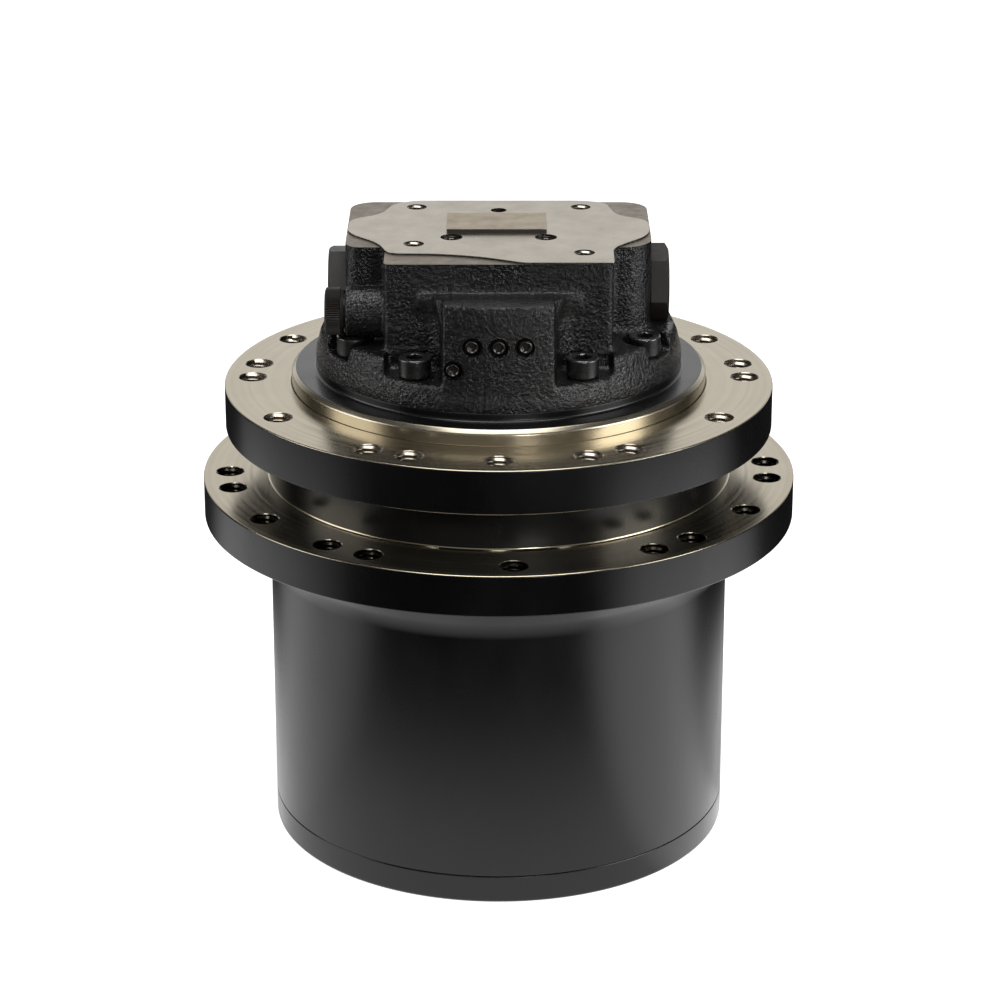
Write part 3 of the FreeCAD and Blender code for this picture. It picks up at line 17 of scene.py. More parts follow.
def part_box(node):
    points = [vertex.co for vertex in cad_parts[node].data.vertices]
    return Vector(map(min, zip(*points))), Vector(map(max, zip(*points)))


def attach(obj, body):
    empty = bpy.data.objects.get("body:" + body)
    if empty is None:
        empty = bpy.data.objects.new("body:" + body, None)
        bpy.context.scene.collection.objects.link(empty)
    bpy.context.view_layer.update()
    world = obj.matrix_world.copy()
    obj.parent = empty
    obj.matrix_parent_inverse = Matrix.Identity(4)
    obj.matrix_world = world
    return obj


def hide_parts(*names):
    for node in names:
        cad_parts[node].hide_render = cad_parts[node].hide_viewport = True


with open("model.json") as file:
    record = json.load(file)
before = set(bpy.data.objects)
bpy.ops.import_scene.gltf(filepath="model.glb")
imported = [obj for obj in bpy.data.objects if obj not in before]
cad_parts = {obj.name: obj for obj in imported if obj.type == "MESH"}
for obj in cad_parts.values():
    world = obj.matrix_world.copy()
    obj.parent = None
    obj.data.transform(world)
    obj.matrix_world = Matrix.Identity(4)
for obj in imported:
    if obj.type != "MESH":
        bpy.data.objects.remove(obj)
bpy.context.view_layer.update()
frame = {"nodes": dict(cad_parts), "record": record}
MM = 0.001

# %% [markdown]
# The levels and radii that the pieces share are read from the frame: from the mounts in its
# record, and from the boxes of its solids. Lengths are in millimetres from here on, because that
# is how a machinist reads the drawing, and each piece is scaled to metres when it is made.

# %% Levels and radii, in millimetres
mounts = {mount["name"]: mount for mount in frame["record"]["mounts"]}


def level(name):
    """A mount's height."""
    return mounts[name]["pos_m"][2] / MM


def node_box(node):
    """A solid's lowest and highest corner, in millimetres."""
    low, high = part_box(node)
    return low / MM, high / MM


FRAME_FACE = level("frame_face")
SPROCKET_FACE = level("sprocket_face")
FRAME_PILOT = mounts["frame_pilot"]["dims"]["r_mm"]
SPROCKET_PILOT = mounts["sprocket_pilot"]["dims"]["r_mm"]
TAP_RADIUS = mounts["sprocket_bolt_33"]["dims"]["r_mm"]
FRAME_CIRCLE = mounts["frame_bolts_side"]["dims"]["spacing_x_mm"] / 2
SPROCKET_CIRCLE = 1000 * math.hypot(*mounts["sprocket_bolt_33"]["pos_m"][:2])
RIM_BOTTOM, NECK_TOP = node_box("housing")[0].z, node_box("housing")[1].z
SPROCKET_EDGE = node_box("housing")[1].x
DRUM_RADIUS = node_box("gearbox_cover")[1].x
FRAME_EDGE = node_box("spindle")[1].x
SEAT_TOP = node_box("spindle")[1].z
COVER_RADIUS = node_box("motor_cover")[1].x
COVER_TOP = node_box("motor_cover")[1].z
SPROCKET_TOP = SPROCKET_FACE + 21
FLARE_START = SPROCKET_FACE - 21
SEAL_GAP = 3
FRAME_UNDERSIDE = NECK_TOP + SEAL_GAP
PILOT_TOP = FRAME_FACE + 8
THREAD_PITCH = 2.0
print("frame face", FRAME_FACE, "sprocket face", SPROCKET_FACE, "seat", SEAT_TOP, "top", COVER_TOP)

# %% [markdown]
# ## Small helpers
# One function turns a hex colour, as a picker shows it, into the linear values that shaders use.
# One function adds a node, sets its settings, and links its inputs. A link is given as a pair of a
# node and the name of its output. Every material is built with these two. Most of them read a
# noise whose lumps have a size in millimetres.

# %% Material helpers
def linear(code):
    """An sRGB hex colour as linear red, green, blue and alpha."""
    parts = [int(code[i:i + 2], 16) / 255 for i in (1, 3, 5)]
    return [c / 12.92 if c <= 0.04045 else ((c + 0.055) / 1.055) ** 2.4 for c in parts] + [1.0]


def add(tree, kind, inputs=None, **settings):
    """Add a node with settings, and give each named input a value or a (node, output) link."""
    node = tree.nodes.new(kind)
    for name, value in settings.items():
        setattr(node, name, value)
    for name, value in (inputs or {}).items():
        if isinstance(value, tuple) and isinstance(value[0], bpy.types.Node):
            tree.links.new(value[0].outputs[value[1]], node.inputs[name])
        else:
            node.inputs[name].default_value = value
    return node


def new_material(name):
    """An empty material, its node tree, and the object coordinates that its patterns read."""
    material = bpy.data.materials.new(name)
    material.use_nodes = True
    tree = material.node_tree
    tree.nodes.clear()
    coordinates = add(tree, "ShaderNodeTexCoord")
    return material, tree, (coordinates, "Object")


def grain(tree, place, size_mm, detail=3.0, roughness=0.5, stretch=(1, 1, 1)):
    """Noise whose lumps are about size_mm across, and longer where stretch is under one."""
    scaled = add(tree, "ShaderNodeMapping", {"Vector": place, "Scale": stretch})
    return add(tree, "ShaderNodeTexNoise", {
        "Vector": (scaled, "Vector"), "Scale": 1 / (size_mm * MM), "Detail": detail,
        "Roughness": roughness})


# %% [markdown]
# ## Black enamel on machined iron
# The drum and the flange rims are turned, then sprayed with a thin satin enamel. It is smooth, so
# its look is all in its gloss: wiping marks change the roughness a little, specks of dust are a
# touch lighter, and the paint itself has a faint orange peel of 1.6 mm. The face that the drive
# stands on is rubbed duller in strokes.

# %% Satin black enamel
SATIN_ENAMEL, tree, place = new_material("satin_black_enamel")
wipes = grain(tree, place, 38, detail=4, stretch=(1, 1, 0.5))
wiped = add(tree, "ShaderNodeMapRange", {"Value": (wipes, "Fac"), "From Min": 0.3, "From Max": 0.7,
                                         "To Min": 0.21, "To Max": 0.32})
spot = add(tree, "ShaderNodeMapping", {"Vector": place, "Location": (0.030, 0.105, -0.118),
                                       "Rotation": (0, 0.45, 0), "Scale": (18, 10, 34)})
reach = add(tree, "ShaderNodeVectorMath", {0: (spot, "Vector")}, operation="LENGTH")
patch = add(tree, "ShaderNodeMapRange", {"Value": (reach, "Value"), "From Min": 0.5,
                                         "From Max": 1.15, "To Min": 0.13, "To Max": 0.0})
strokes = grain(tree, place, 5, detail=5, roughness=0.7, stretch=(0.35, 1, 1.6))
rubbed = add(tree, "ShaderNodeMapRange", {"Value": (strokes, "Fac"), "From Min": 0.42,
                                          "From Max": 0.60, "To Min": 0.0, "To Max": 1.0})
scuff = add(tree, "ShaderNodeMath", {0: (patch, "Result"), 1: (rubbed, "Result")},
            operation="MULTIPLY")
rough = add(tree, "ShaderNodeMath", {0: (wiped, "Result"), 1: (scuff, "Value")}, operation="ADD")
dust = grain(tree, place, 1.1, detail=2)
specks = add(tree, "ShaderNodeMapRange", {"Value": (dust, "Fac"), "From Min": 0.70,
                                          "From Max": 0.78, "To Min": 0.0, "To Max": 0.55})
base = add(tree, "ShaderNodeMix", {0: (specks, "Result"), 6: linear("#050505"),
                                   7: linear("#121214")}, data_type="RGBA")
peel = grain(tree, place, 1.6, detail=1)
skin = add(tree, "ShaderNodeBump", {"Height": (peel, "Fac"), "Distance": 0.015 * MM})
shader = add(tree, "ShaderNodeBsdfPrincipled", {
    "Base Color": (base, 2), "Roughness": (rough, "Value"), "IOR": 1.5, "Normal": (skin, "Normal")})
add(tree, "ShaderNodeOutputMaterial", {"Surface": (shader, "BSDF")})
print("enamel:", SATIN_ENAMEL.name)

# %% [markdown]
# ## Turned iron
# The flange faces are bare cast iron, faced on a lathe. The tool leaves a spiral of very fine
# grooves, so light spreads across them and the face shows soft dark and bright fans. The grooves
# are rings here: noise that reads only the distance from the axis, 0.35 mm apart, which is
# coarser than the real feed of 0.1 mm so that it shows. Iron is warm grey and never quite even.

# %% Bare turned iron
TURNED_IRON, tree, place = new_material("bare_turned_iron")
split = add(tree, "ShaderNodeSeparateXYZ", {"Vector": place})
flat = add(tree, "ShaderNodeCombineXYZ", {"X": (split, "X"), "Y": (split, "Y")})
radius = add(tree, "ShaderNodeVectorMath", {0: (flat, "Vector")}, operation="LENGTH")
rings = add(tree, "ShaderNodeTexNoise", {"W": (radius, "Value"), "Scale": 1 / (0.35 * MM),
                                         "Detail": 2.0}, noise_dimensions="1D")
bands = add(tree, "ShaderNodeTexNoise", {"W": (radius, "Value"), "Scale": 1 / (3.5 * MM),
                                         "Detail": 2.0}, noise_dimensions="1D")
rough = add(tree, "ShaderNodeMapRange", {"Value": (bands, "Fac"), "From Min": 0.3, "From Max": 0.7,
                                         "To Min": 0.18, "To Max": 0.27})
clouds = grain(tree, place, 26, detail=5, roughness=0.6)
worn = add(tree, "ShaderNodeMix", {0: (clouds, "Fac"), 6: linear("#B9B09C"),
                                   7: linear("#AAA18D")}, data_type="RGBA")
pores = grain(tree, place, 0.9, detail=2)
spots = add(tree, "ShaderNodeMapRange", {"Value": (pores, "Fac"), "From Min": 0.72,
                                         "From Max": 0.78, "To Min": 0.0, "To Max": 0.45})
base = add(tree, "ShaderNodeMix", {0: (spots, "Result"), 6: (worn, 2), 7: linear("#5B5148")},
           data_type="RGBA")
cut = add(tree, "ShaderNodeBump", {"Height": (rings, "Fac"), "Distance": 0.003 * MM})
shader = add(tree, "ShaderNodeBsdfPrincipled", {
    "Base Color": (base, 2), "Metallic": 1.0, "Roughness": (rough, "Result"),
    "Normal": (cut, "Normal")})
add(tree, "ShaderNodeOutputMaterial", {"Surface": (shader, "BSDF")})
print("turned iron:", TURNED_IRON.name)

# %% [markdown]
# ## Gloss enamel over a sand casting
# The motor cover was cast in sand and only painted. The sand leaves a grit, and thick gloss enamel
# rounds it off into an orange peel, so a highlight breaks up into sparkles. Two noises do it:
# lumps of 1.7 mm for the sand and a slower waviness of 9 mm for the mould.

# %% Gloss black enamel on cast iron
CAST_ENAMEL, tree, place = new_material("gloss_black_enamel_on_casting")
mould = grain(tree, place, 9, detail=2)
waves = add(tree, "ShaderNodeBump", {"Height": (mould, "Fac"), "Distance": 1.0 * MM,
                                     "Strength": 0.7})
sand = grain(tree, place, 1.7, detail=2, roughness=0.6)
grit = add(tree, "ShaderNodeBump", {"Height": (sand, "Fac"), "Distance": 1.0 * MM,
                                    "Normal": (waves, "Normal")})
patches = grain(tree, place, 30, detail=3)
rough = add(tree, "ShaderNodeMapRange", {"Value": (patches, "Fac"), "From Min": 0.35,
                                         "From Max": 0.7, "To Min": 0.16, "To Max": 0.28})
shade = add(tree, "ShaderNodeMix", {0: (patches, "Fac"), 6: linear("#0A0A0B"),
                                    7: linear("#131314")}, data_type="RGBA")
shader = add(tree, "ShaderNodeBsdfPrincipled", {
    "Base Color": (shade, 2), "Roughness": (rough, "Result"), "IOR": 1.52,
    "Normal": (grit, "Normal")})
add(tree, "ShaderNodeOutputMaterial", {"Surface": (shader, "BSDF")})
print("cast enamel:", CAST_ENAMEL.name)

# %% [markdown]
# ## Bare metals and coatings
# The other finishes differ in colour, in how far they scatter light, and in their marks. One
# function mixes a clean and a worn colour in clouds, breaks up the gloss, and adds a fine grain
# that may be stretched one way, as brushing or milling does. It makes the metals. A second one
# sets what a coating, a rubber or a paper has instead of metal: its own index of refraction.

# %% Worked metals
def clouded(name, light, dark, cloud_mm, gloss, duller, marks, depth):
    """A material and its shader: two colours in clouds, duller where worn, with marks as grain.
    marks gives the grain's size in millimetres and its stretch."""
    material, tree, place = new_material(name)
    clouds = grain(tree, place, cloud_mm, detail=4, roughness=0.6)
    base = add(tree, "ShaderNodeMix", {0: (clouds, "Fac"), 6: linear(light), 7: linear(dark)},
               data_type="RGBA")
    rough = add(tree, "ShaderNodeMapRange", {"Value": (clouds, "Fac"), "From Min": 0.3,
                                             "From Max": 0.7, "To Min": gloss - 0.05,
                                             "To Max": gloss + duller})
    fine = grain(tree, place, marks[0], detail=3, stretch=marks[1])
    skin = add(tree, "ShaderNodeBump", {"Height": (fine, "Fac"), "Distance": depth * MM})
    shader = add(tree, "ShaderNodeBsdfPrincipled", {
        "Base Color": (base, 2), "Roughness": (rough, "Result"), "Normal": (skin, "Normal")})
    add(tree, "ShaderNodeOutputMaterial", {"Surface": (shader, "BSDF")})
    return material, shader


def worked_metal(name, light, dark, gloss, grain_mm=0.5, stretch=(1, 1, 1), depth=0.01,
                 cloud_mm=14):
    material, shader = clouded(name, light, dark, cloud_mm, gloss, 0.07, (grain_mm, stretch), depth)
    shader.inputs["Metallic"].default_value = 1.0
    return material


def coated(name, light, dark, gloss, ior, grain_mm=0.8, depth=0.02):
    material, shader = clouded(name, light, dark, 7, gloss, 0.08, (grain_mm, (1, 1, 1)), depth)
    shader.inputs["IOR"].default_value = ior
    return material


# Face-milled iron: long shallow arcs of the cutter, drawn 0.6 mm apart so that they show
MILLED_IRON = worked_metal("milled_iron", "#B3AB9D", "#A59D90", 0.30, 0.6, (1, 0.06, 1), 0.006)
# Cast iron skin that lost its paint: rougher and duller than the milled face
CAST_SKIN = worked_metal("bare_cast_skin", "#A39A8E", "#6F675D", 0.48, 1.6, depth=0.16, cloud_mm=6)
# Threads cut by a tap: bright, with a soft oily shine
TAPPED_IRON = worked_metal("tapped_iron", "#B4ACA0", "#8F877B", 0.24)
# The same, painted darker as shade for the flange below, whose holes lie under the frame flange's edge
PAINTED_SHADE_TAPPED_IRON = worked_metal("painted_shade_tapped_iron", "#57524B", "#38342F", 0.18)
# Case-hardened teeth, ground along their length: a cool grey with a fine lengthwise grain
GROUND_GEAR_STEEL = worked_metal("ground_gear_steel", "#A9A9A8", "#8D8C8A", 0.26, 0.4,
                                 (1, 1, 0.1), 0.006)
# Races, rollers and pins are lapped: nearly a mirror
BEARING_STEEL = worked_metal("polished_bearing_steel", "#C4C5C6", "#B2B3B4", 0.12, 0.5, depth=0.002)
# Seal rings and brake plates: lapped, but darker and softer in their shine
NITRIDED_IRON = worked_metal("lapped_seal_iron", "#8F8D89", "#77746F", 0.22, 0.5)
# Washers, shoes and the valve plate run against steel: a dull brown gold
TIN_BRONZE = worked_metal("tin_bronze", "#B08A57", "#8A6638", 0.30)
# Springs are left blue-grey and dull by the heat of their tempering
SPRING_STEEL = worked_metal("oil_tempered_spring_steel", "#5F5C58", "#474441", 0.34)
# The plate is brushed from side to side, which draws its highlight out into a band
BRUSHED_ALUMINIUM = worked_metal("brushed_aluminium", "#A79A84", "#8E806A", 0.34, 0.7,
                                 (0.04, 1, 1), 0.02, cloud_mm=8)
# Small plugs with their black worn off at the rim
PLUG_FACE = worked_metal("worn_plug_steel", "#6E6B68", "#3C3A38", 0.28)
# Blackened screws: a hot bath turns their skin into iron oxide, no metal, which reflects a tenth
BLACK_OXIDE = coated("black_oxide_steel", "#09090A", "#100F0F", 0.26, 2.0)
# Phosphated plugs: a brown-black crystal skin that hardly shines
PHOSPHATED_STEEL = coated("phosphated_plug_steel", "#1A1613", "#241E1A", 0.46, 1.45, depth=0.05)
# Cords and lips of seals: black and dull
NITRILE_RUBBER = coated("nitrile_rubber", "#0C0C0C", "#151515", 0.52, 1.52)
# The brake's lining: brown, fibrous and matt
FRICTION_PAPER = coated("friction_paper", "#4A3A28", "#35291C", 0.75, 1.5, 0.6, 0.08)
print("metals and coatings:", len(bpy.data.materials), "materials so far")

# %% [markdown]
# The solids inside the drive keep their shapes from the frame and only get a finish. Each name
# goes with the metal that such a part is made of: case-hardened and ground gears, polished
# bearing races, a bronze valve plate, rubber cords and seals.

# %% Finishes of the inner parts
FINISHES = {
    GROUND_GEAR_STEEL: ["drive_gear", "second_stage_sun_gear", "first_stage_planet_1",
                        "first_stage_planet_2", "first_stage_planet_3", "second_stage_planet_1",
                        "second_stage_planet_2", "second_stage_planet_3", "second_stage_planet_4",
                        "first_stage_carrier", "second_stage_carrier", "motor_shaft",
                        "thrust_pad", "swash_plate", "swash_control_piston",
                        "brake_piston", "counterbalance_spool", "two_speed_spool"],
    BEARING_STEEL: ["second_stage_pins", "first_stage_pins", "main_bearing_inner_races",
                    "main_bearing_outer_races", "main_bearing_rollers", "pistons",
                    "shaft_bearing_outer_races", "shaft_bearing_inner_races",
                    "shaft_bearing_rollers", "cylinder_block", "retainer_guide"],
    NITRIDED_IRON: ["housing_seal_ring", "frame_seal_ring", "brake_steel_plates",
                    "shoe_retainer_plate"],
    TIN_BRONZE: ["first_stage_thrust_washers", "second_stage_thrust_washers", "piston_shoes",
                 "valve_plate"],
    SPRING_STEEL: ["brake_disc_springs", "block_hold_down_spring", "counterbalance_springs",
                   "two_speed_spring"],
    NITRILE_RUBBER: ["gearbox_cover_seal", "housing_seal_cord", "frame_seal_cord",
                     "shaft_lip_seal", "motor_cover_seal"],
    FRICTION_PAPER: ["brake_friction_discs"],
    BLACK_OXIDE: ["gearbox_cover_screws", "second_stage_carrier_screws"],
    PHOSPHATED_STEEL: ["oil_plugs"],
}
for material, names in FINISHES.items():
    for name in names:
        for slot in frame["nodes"][name].material_slots:
            slot.material = material
print(sum(len(names) for names in FINISHES.values()), "inner parts have their finish")

# %% [markdown]
# ## Modelling helpers
# Nearly every shape here comes off a lathe or out of a sand mould. A lathe part starts as its
# section, a flat face whose corners are rounded by a vertex bevel. The face is then dropped, and
# its edges are spun round the axis.

# %% Section and spin
STEPS = 240
MERGE = 0.0005


def rounded_face(bm, corners):
    """A flat face through (x, y, z, rounding) corners, with every corner rounded."""
    verts = [bm.verts.new((x * MM, y * MM, z * MM)) for x, y, z, _ in corners]
    face = bm.faces.new(verts)
    for size in sorted({corner[3] for corner in corners if corner[3]}):
        picked = [vert for vert, corner in zip(verts, corners) if corner[3] == size]
        bmesh.ops.bevel(bm, geom=picked, affect="VERTICES", offset=size * MM,
                        offset_type="OFFSET", segments=3 if size < 3 else 8, profile=0.5,
                        material=-1)
    return face if face.is_valid else bm.faces[:][-1]


def spun(section, steps=STEPS):
    """A closed turned shape from (radius, height, rounding) corners of its section."""
    bm = bmesh.new()
    rounded_face(bm, [(radius, 0, height, rounding) for radius, height, rounding in section])
    bmesh.ops.delete(bm, geom=bm.faces[:], context="FACES_ONLY")
    bmesh.ops.spin(bm, geom=bm.verts[:] + bm.edges[:], cent=(0, 0, 0), axis=(0, 0, 1),
                   angle=math.tau, steps=steps, use_merge=True)
    bmesh.ops.remove_doubles(bm, verts=bm.verts[:], dist=MERGE * MM)
    bmesh.ops.recalc_face_normals(bm, faces=bm.faces[:])
    return bm


# %% Place, join and cut
def moved(bm, matrix):
    bmesh.ops.transform(bm, matrix=matrix, verts=bm.verts[:])
    return bm


def place_at(x, y, z):
    return Matrix.Translation((x * MM, y * MM, z * MM))


def joined(parts):
    """One bmesh out of several, which are used up."""
    whole = bmesh.new()
    for part in parts:
        mesh = bpy.data.meshes.new("part")
        part.to_mesh(mesh)
        part.free()
        whole.from_mesh(mesh)
        bpy.data.meshes.remove(mesh)
    return whole


def as_object(name, bm):
    mesh = bpy.data.meshes.new(name)
    bm.to_mesh(mesh)
    bm.free()
    thing = bpy.data.objects.new(name, mesh)
    bpy.context.scene.collection.objects.link(thing)
    return thing


def applied(thing):
    """Make a shape's modifiers final."""
    graph = bpy.context.evaluated_depsgraph_get()
    mesh = bpy.data.meshes.new_from_object(thing.evaluated_get(graph))
    old = thing.data
    thing.modifiers.clear()
    thing.data = mesh
    bpy.data.meshes.remove(old)
    return thing


def carved(thing, tool_bm, operation="DIFFERENCE"):
    """Cut a tool out of a shape, and drop the tool."""
    tool = as_object("tool", tool_bm)
    cutter = thing.modifiers.new("cut", "BOOLEAN")
    cutter.operation, cutter.object, cutter.solver = operation, tool, "EXACT"
    applied(thing)
    bpy.data.objects.remove(tool)
    return thing


# %% [markdown]
# A finished piece gets its materials, shades smoothly except across corners sharper than 32
# degrees, and leans its normals towards its large faces, so that flat stays flat beside a
# rounded edge. Then it is told which part of the mechanism carries it.

# %% Finish a piece
def finished(thing, name, materials, body, nodes, choose=None, sharp=32):
    """Name a shape, dress it, and hand it to the frame. choose gives a face's material number."""
    thing.name = thing.data.name = name
    thing.data.materials.clear()
    for material in materials:
        thing.data.materials.append(material)
    for polygon in thing.data.polygons:
        polygon.material_index = choose(polygon) if choose else 0
        polygon.use_smooth = True
    thing.data.set_sharp_from_angle(angle=math.radians(sharp))
    leaning = thing.modifiers.new("flat faces stay flat", "WEIGHTED_NORMAL")
    leaning.keep_sharp = True
    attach(thing, body)
    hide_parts(*nodes)
    print(f"{name:34s} {len(thing.data.polygons):7d} faces on {body}")
    return thing


# %% [markdown]
# ## Threads
# A screw thread is a ridge that climbs round the hole. The hole is bored to the outside of the
# thread, and a triangular ridge is spun round it with a little lift at every step. Each end of
# the ridge is closed. A mouth cut at 45 degrees lets the screw find its way in.

# %% Threads and the holes that they sit in
THREAD_OUTER = TAP_RADIUS + 1.1
MOUTH = THREAD_OUTER + 0.35
RIDGE_SHARE = 0.47
ROOT_OVERLAP = 0.05


def ridge(outer, crest, pitch, bottom, top, face, mouth, steps=20):
    """A thread's ridge inside a hole of radius outer. The mouth, of that radius at the height
    face, cuts the ridge back at 45 degrees."""
    bm = bmesh.new()
    half = pitch * RIDGE_SHARE
    root = outer + ROOT_OVERLAP
    corners = [(root, 0, bottom), (crest, 0, bottom + half), (root, 0, bottom + 2 * half)]
    start = bm.faces.new([bm.verts.new(Vector(corner) * MM) for corner in corners])
    turns = (top - bottom - pitch) / pitch
    count = int(turns * steps)
    result = bmesh.ops.spin(bm, geom=start.verts[:] + start.edges[:], cent=(0, 0, 0), axis=(0, 0, 1),
                            dvec=(0, 0, pitch * MM / steps), angle=math.tau * count / steps,
                            steps=count)
    last = [item for item in result["geom_last"] if isinstance(item, bmesh.types.BMEdge)]
    bmesh.ops.contextual_create(bm, geom=last)
    for vert in bm.verts:
        least = mouth * MM - (face * MM - vert.co.z)
        if vert.co.xy.length < least:
            vert.co.xy *= least / vert.co.xy.length
    bmesh.ops.recalc_face_normals(bm, faces=bm.faces[:])
    return bm


def bore(radius, mouth, bottom, top):
    """A tool for a hole right through, with a mouth at both ends."""
    drop = mouth - radius
    return spun([(0, bottom - 1, 0), (mouth + 1, bottom - 1, 0), (radius, bottom + drop, 0),
                 (radius, top - drop, 0), (mouth + 1, top + 1, 0), (0, top + 1, 0)], steps=40)


def ring_of(make, radius, angles):
    """Copies of a small shape round the axis."""
    return joined([moved(make(), Matrix.Rotation(math.radians(angle), 4, "Z") @ place_at(radius, 0, 0))
                   for angle in angles])


def hole_angles(first_of_nine, turn=0):
    """Twelve holes and nine holes share one circle, and three of them coincide."""
    twelve = [30 * i for i in range(12)]
    nine = [first_of_nine + 40 * i for i in range(9)]
    return [angle + turn for angle in sorted({a % 360 for a in twelve + nine})]


FRAME_HOLES = hole_angles(10)
SPROCKET_HOLES = hole_angles(30, turn=3)
print(len(FRAME_HOLES), "holes in the frame flange,", len(SPROCKET_HOLES), "in the sprocket flange")

# %% [markdown]
# ## The turning housing
# The drum carries the sprocket. It is one iron casting: a plain cylinder, a flare, a thick flange
# with threaded holes, and a short neck that ends at the floating seal. It is turned all over, so
# it is spun from its section, inside as well as outside, and then bored.

# %% Drum, flange and neck
RING_ROOT, RING_TIP, RING_TOP = 96.9, 91.25, 106.0
COVER_BOLT_CIRCLE, COVER_BOLTS = (DRUM_RADIUS + RING_ROOT) / 2, range(0, 360, 30)
SEAL_POCKET, SEAL_FLOOR = 100.0, NECK_TOP - 8.5
BEARING_BORE, BEARING_LOW, BEARING_STEP, BEARING_HIGH = 91.0, RING_TOP + 4, 141.0, 163.0


def cover_screw_tool():
    return spun([(0, 13, 0), (4, 13, 0), (4, 36.5, 0), (0, 36.5, 0)], steps=20)


def housing_material(polygon):
    """0 enamel, 1 turned iron on the flange's top, 2 tapped iron painted darker as shade, in the holes
    and inside.
    """
    centre = polygon.center / MM
    radius = math.hypot(centre.x, centre.y)
    if DRUM_RADIUS + 0.05 < radius < SPROCKET_EDGE - 0.15 and SPROCKET_TOP - 0.75 < centre.z < (
            SPROCKET_TOP + 0.9):
        return 1 if centre.z > SPROCKET_TOP - 0.3 else 0
    inside = abs(radius - SPROCKET_CIRCLE) < MOUTH and SPROCKET_FACE < centre.z < SPROCKET_TOP
    return 2 if inside or radius < DRUM_RADIUS - 3 else 0


drum = as_object("drum", spun([
    (RING_ROOT, RIM_BOTTOM, 0), (DRUM_RADIUS, RIM_BOTTOM, 0.7),
    (DRUM_RADIUS, FLARE_START, 5), (SPROCKET_PILOT, SPROCKET_FACE - 5, 2.5),
    (SPROCKET_PILOT, SPROCKET_FACE, 0.4), (SPROCKET_EDGE, SPROCKET_FACE, 0.9),
    (SPROCKET_EDGE, SPROCKET_TOP, 0.9), (DRUM_RADIUS, SPROCKET_TOP, 1.0),
    (DRUM_RADIUS, NECK_TOP, 0.8), (SEAL_POCKET, NECK_TOP, 0.5), (SEAL_POCKET, SEAL_FLOOR, 0),
    (BEARING_BORE, SEAL_FLOOR, 0.5), (BEARING_BORE, BEARING_HIGH, 0),
    (BEARING_BORE - 5, BEARING_HIGH, 0.5), (BEARING_BORE - 5, BEARING_STEP, 0.5),
    (BEARING_BORE, BEARING_STEP, 0), (BEARING_BORE, BEARING_LOW, 0.5),
    (RING_ROOT + 0.6, BEARING_LOW, 0), (RING_ROOT + 0.6, RING_TOP, 0), (RING_ROOT, RING_TOP, 0)]))
carved(drum, joined([
    ring_of(lambda: bore(THREAD_OUTER, MOUTH, SPROCKET_FACE, SPROCKET_TOP),
            SPROCKET_CIRCLE, SPROCKET_HOLES),
    ring_of(cover_screw_tool, COVER_BOLT_CIRCLE, COVER_BOLTS)]))
finished(drum, "drum_and_sprocket_flange", [SATIN_ENAMEL, TURNED_IRON, PAINTED_SHADE_TAPPED_IRON],
         "sprocket_side", ["housing"], housing_material)

# The sprocket flange's threads take the tapped iron painted darker as shade, because the frame flange
# overhangs them.
sprocket_threads = as_object("threads", ring_of(
    lambda: ridge(THREAD_OUTER, TAP_RADIUS, THREAD_PITCH, SPROCKET_FACE + 0.6, SPROCKET_TOP - 0.1,
                  SPROCKET_TOP, MOUTH), SPROCKET_CIRCLE, SPROCKET_HOLES))
finished(sprocket_threads, "sprocket_flange_threads", [PAINTED_SHADE_TAPPED_IRON], "sprocket_side", ["housing"])

# %% [markdown]
# The ring gear is broached straight into the drum's wall, 75 teeth of module 2.5. One tooth is a
# flat face with its tip inwards and its flanks slightly hollow. It is raised to the gear's height
# and set round the axis.

# %% Ring gear teeth
RING_TEETH = 75
RING_PITCH = 93.75
# Where the first tooth stands, in degrees. The solids' own teeth start half a tooth away from it.
FIRST_TOOTH = 2.4


def ring_tooth():
    """One inward tooth, at angle zero."""
    bm = bmesh.new()
    half = math.pi * RING_PITCH / RING_TEETH / 2
    flank = [(RING_ROOT + 0.3, half * 1.42), (RING_ROOT - 1.2, half * 1.22),
             (RING_PITCH, half * 0.96), (RING_TIP + 1, half * 0.72), (RING_TIP, half * 0.58)]
    outline = flank + [(r, -w) for r, w in reversed(flank)]
    face = bm.faces.new([bm.verts.new((r * MM, w * MM, RIM_BOTTOM * MM)) for r, w in outline])
    raised = bmesh.ops.extrude_face_region(bm, geom=[face], use_keep_orig=True)
    bmesh.ops.translate(bm, vec=(0, 0, (RING_TOP - RIM_BOTTOM) * MM),
                        verts=[v for v in raised["geom"] if isinstance(v, bmesh.types.BMVert)])
    bmesh.ops.recalc_face_normals(bm, faces=bm.faces[:])
    return bm


ring_gear = as_object("teeth", ring_of(ring_tooth, 0, [i * 360 / RING_TEETH + FIRST_TOOTH
                                                       for i in range(RING_TEETH)]))
finished(ring_gear, "ring_gear_teeth", [GROUND_GEAR_STEEL], "sprocket_side", ["housing"])

# %% [markdown]
# ## The gearbox cover
# A turned disc closes the drum. Its edge meets the drum's in a fine seam, which shows as a dark
# line because both edges are broken. Below, twelve screw heads and three plugs sit in pockets.

# %% Gearbox cover
PLUG_CIRCLE, PLUG_ANGLES = 60, (90, 210, 330)


def cover_pocket():
    return spun([(0, -1, 0), (7, -1, 0), (7, 9, 0), (4.25, 9, 0), (4.25, RIM_BOTTOM + 1, 0),
                 (0, RIM_BOTTOM + 1, 0)], steps=32)


def plug_pocket():
    return spun([(0, -1, 0), (12, -1, 0), (12, 2, 0), (8, 2, 0), (8, RIM_BOTTOM + 1, 0),
                 (0, RIM_BOTTOM + 1, 0)], steps=40)


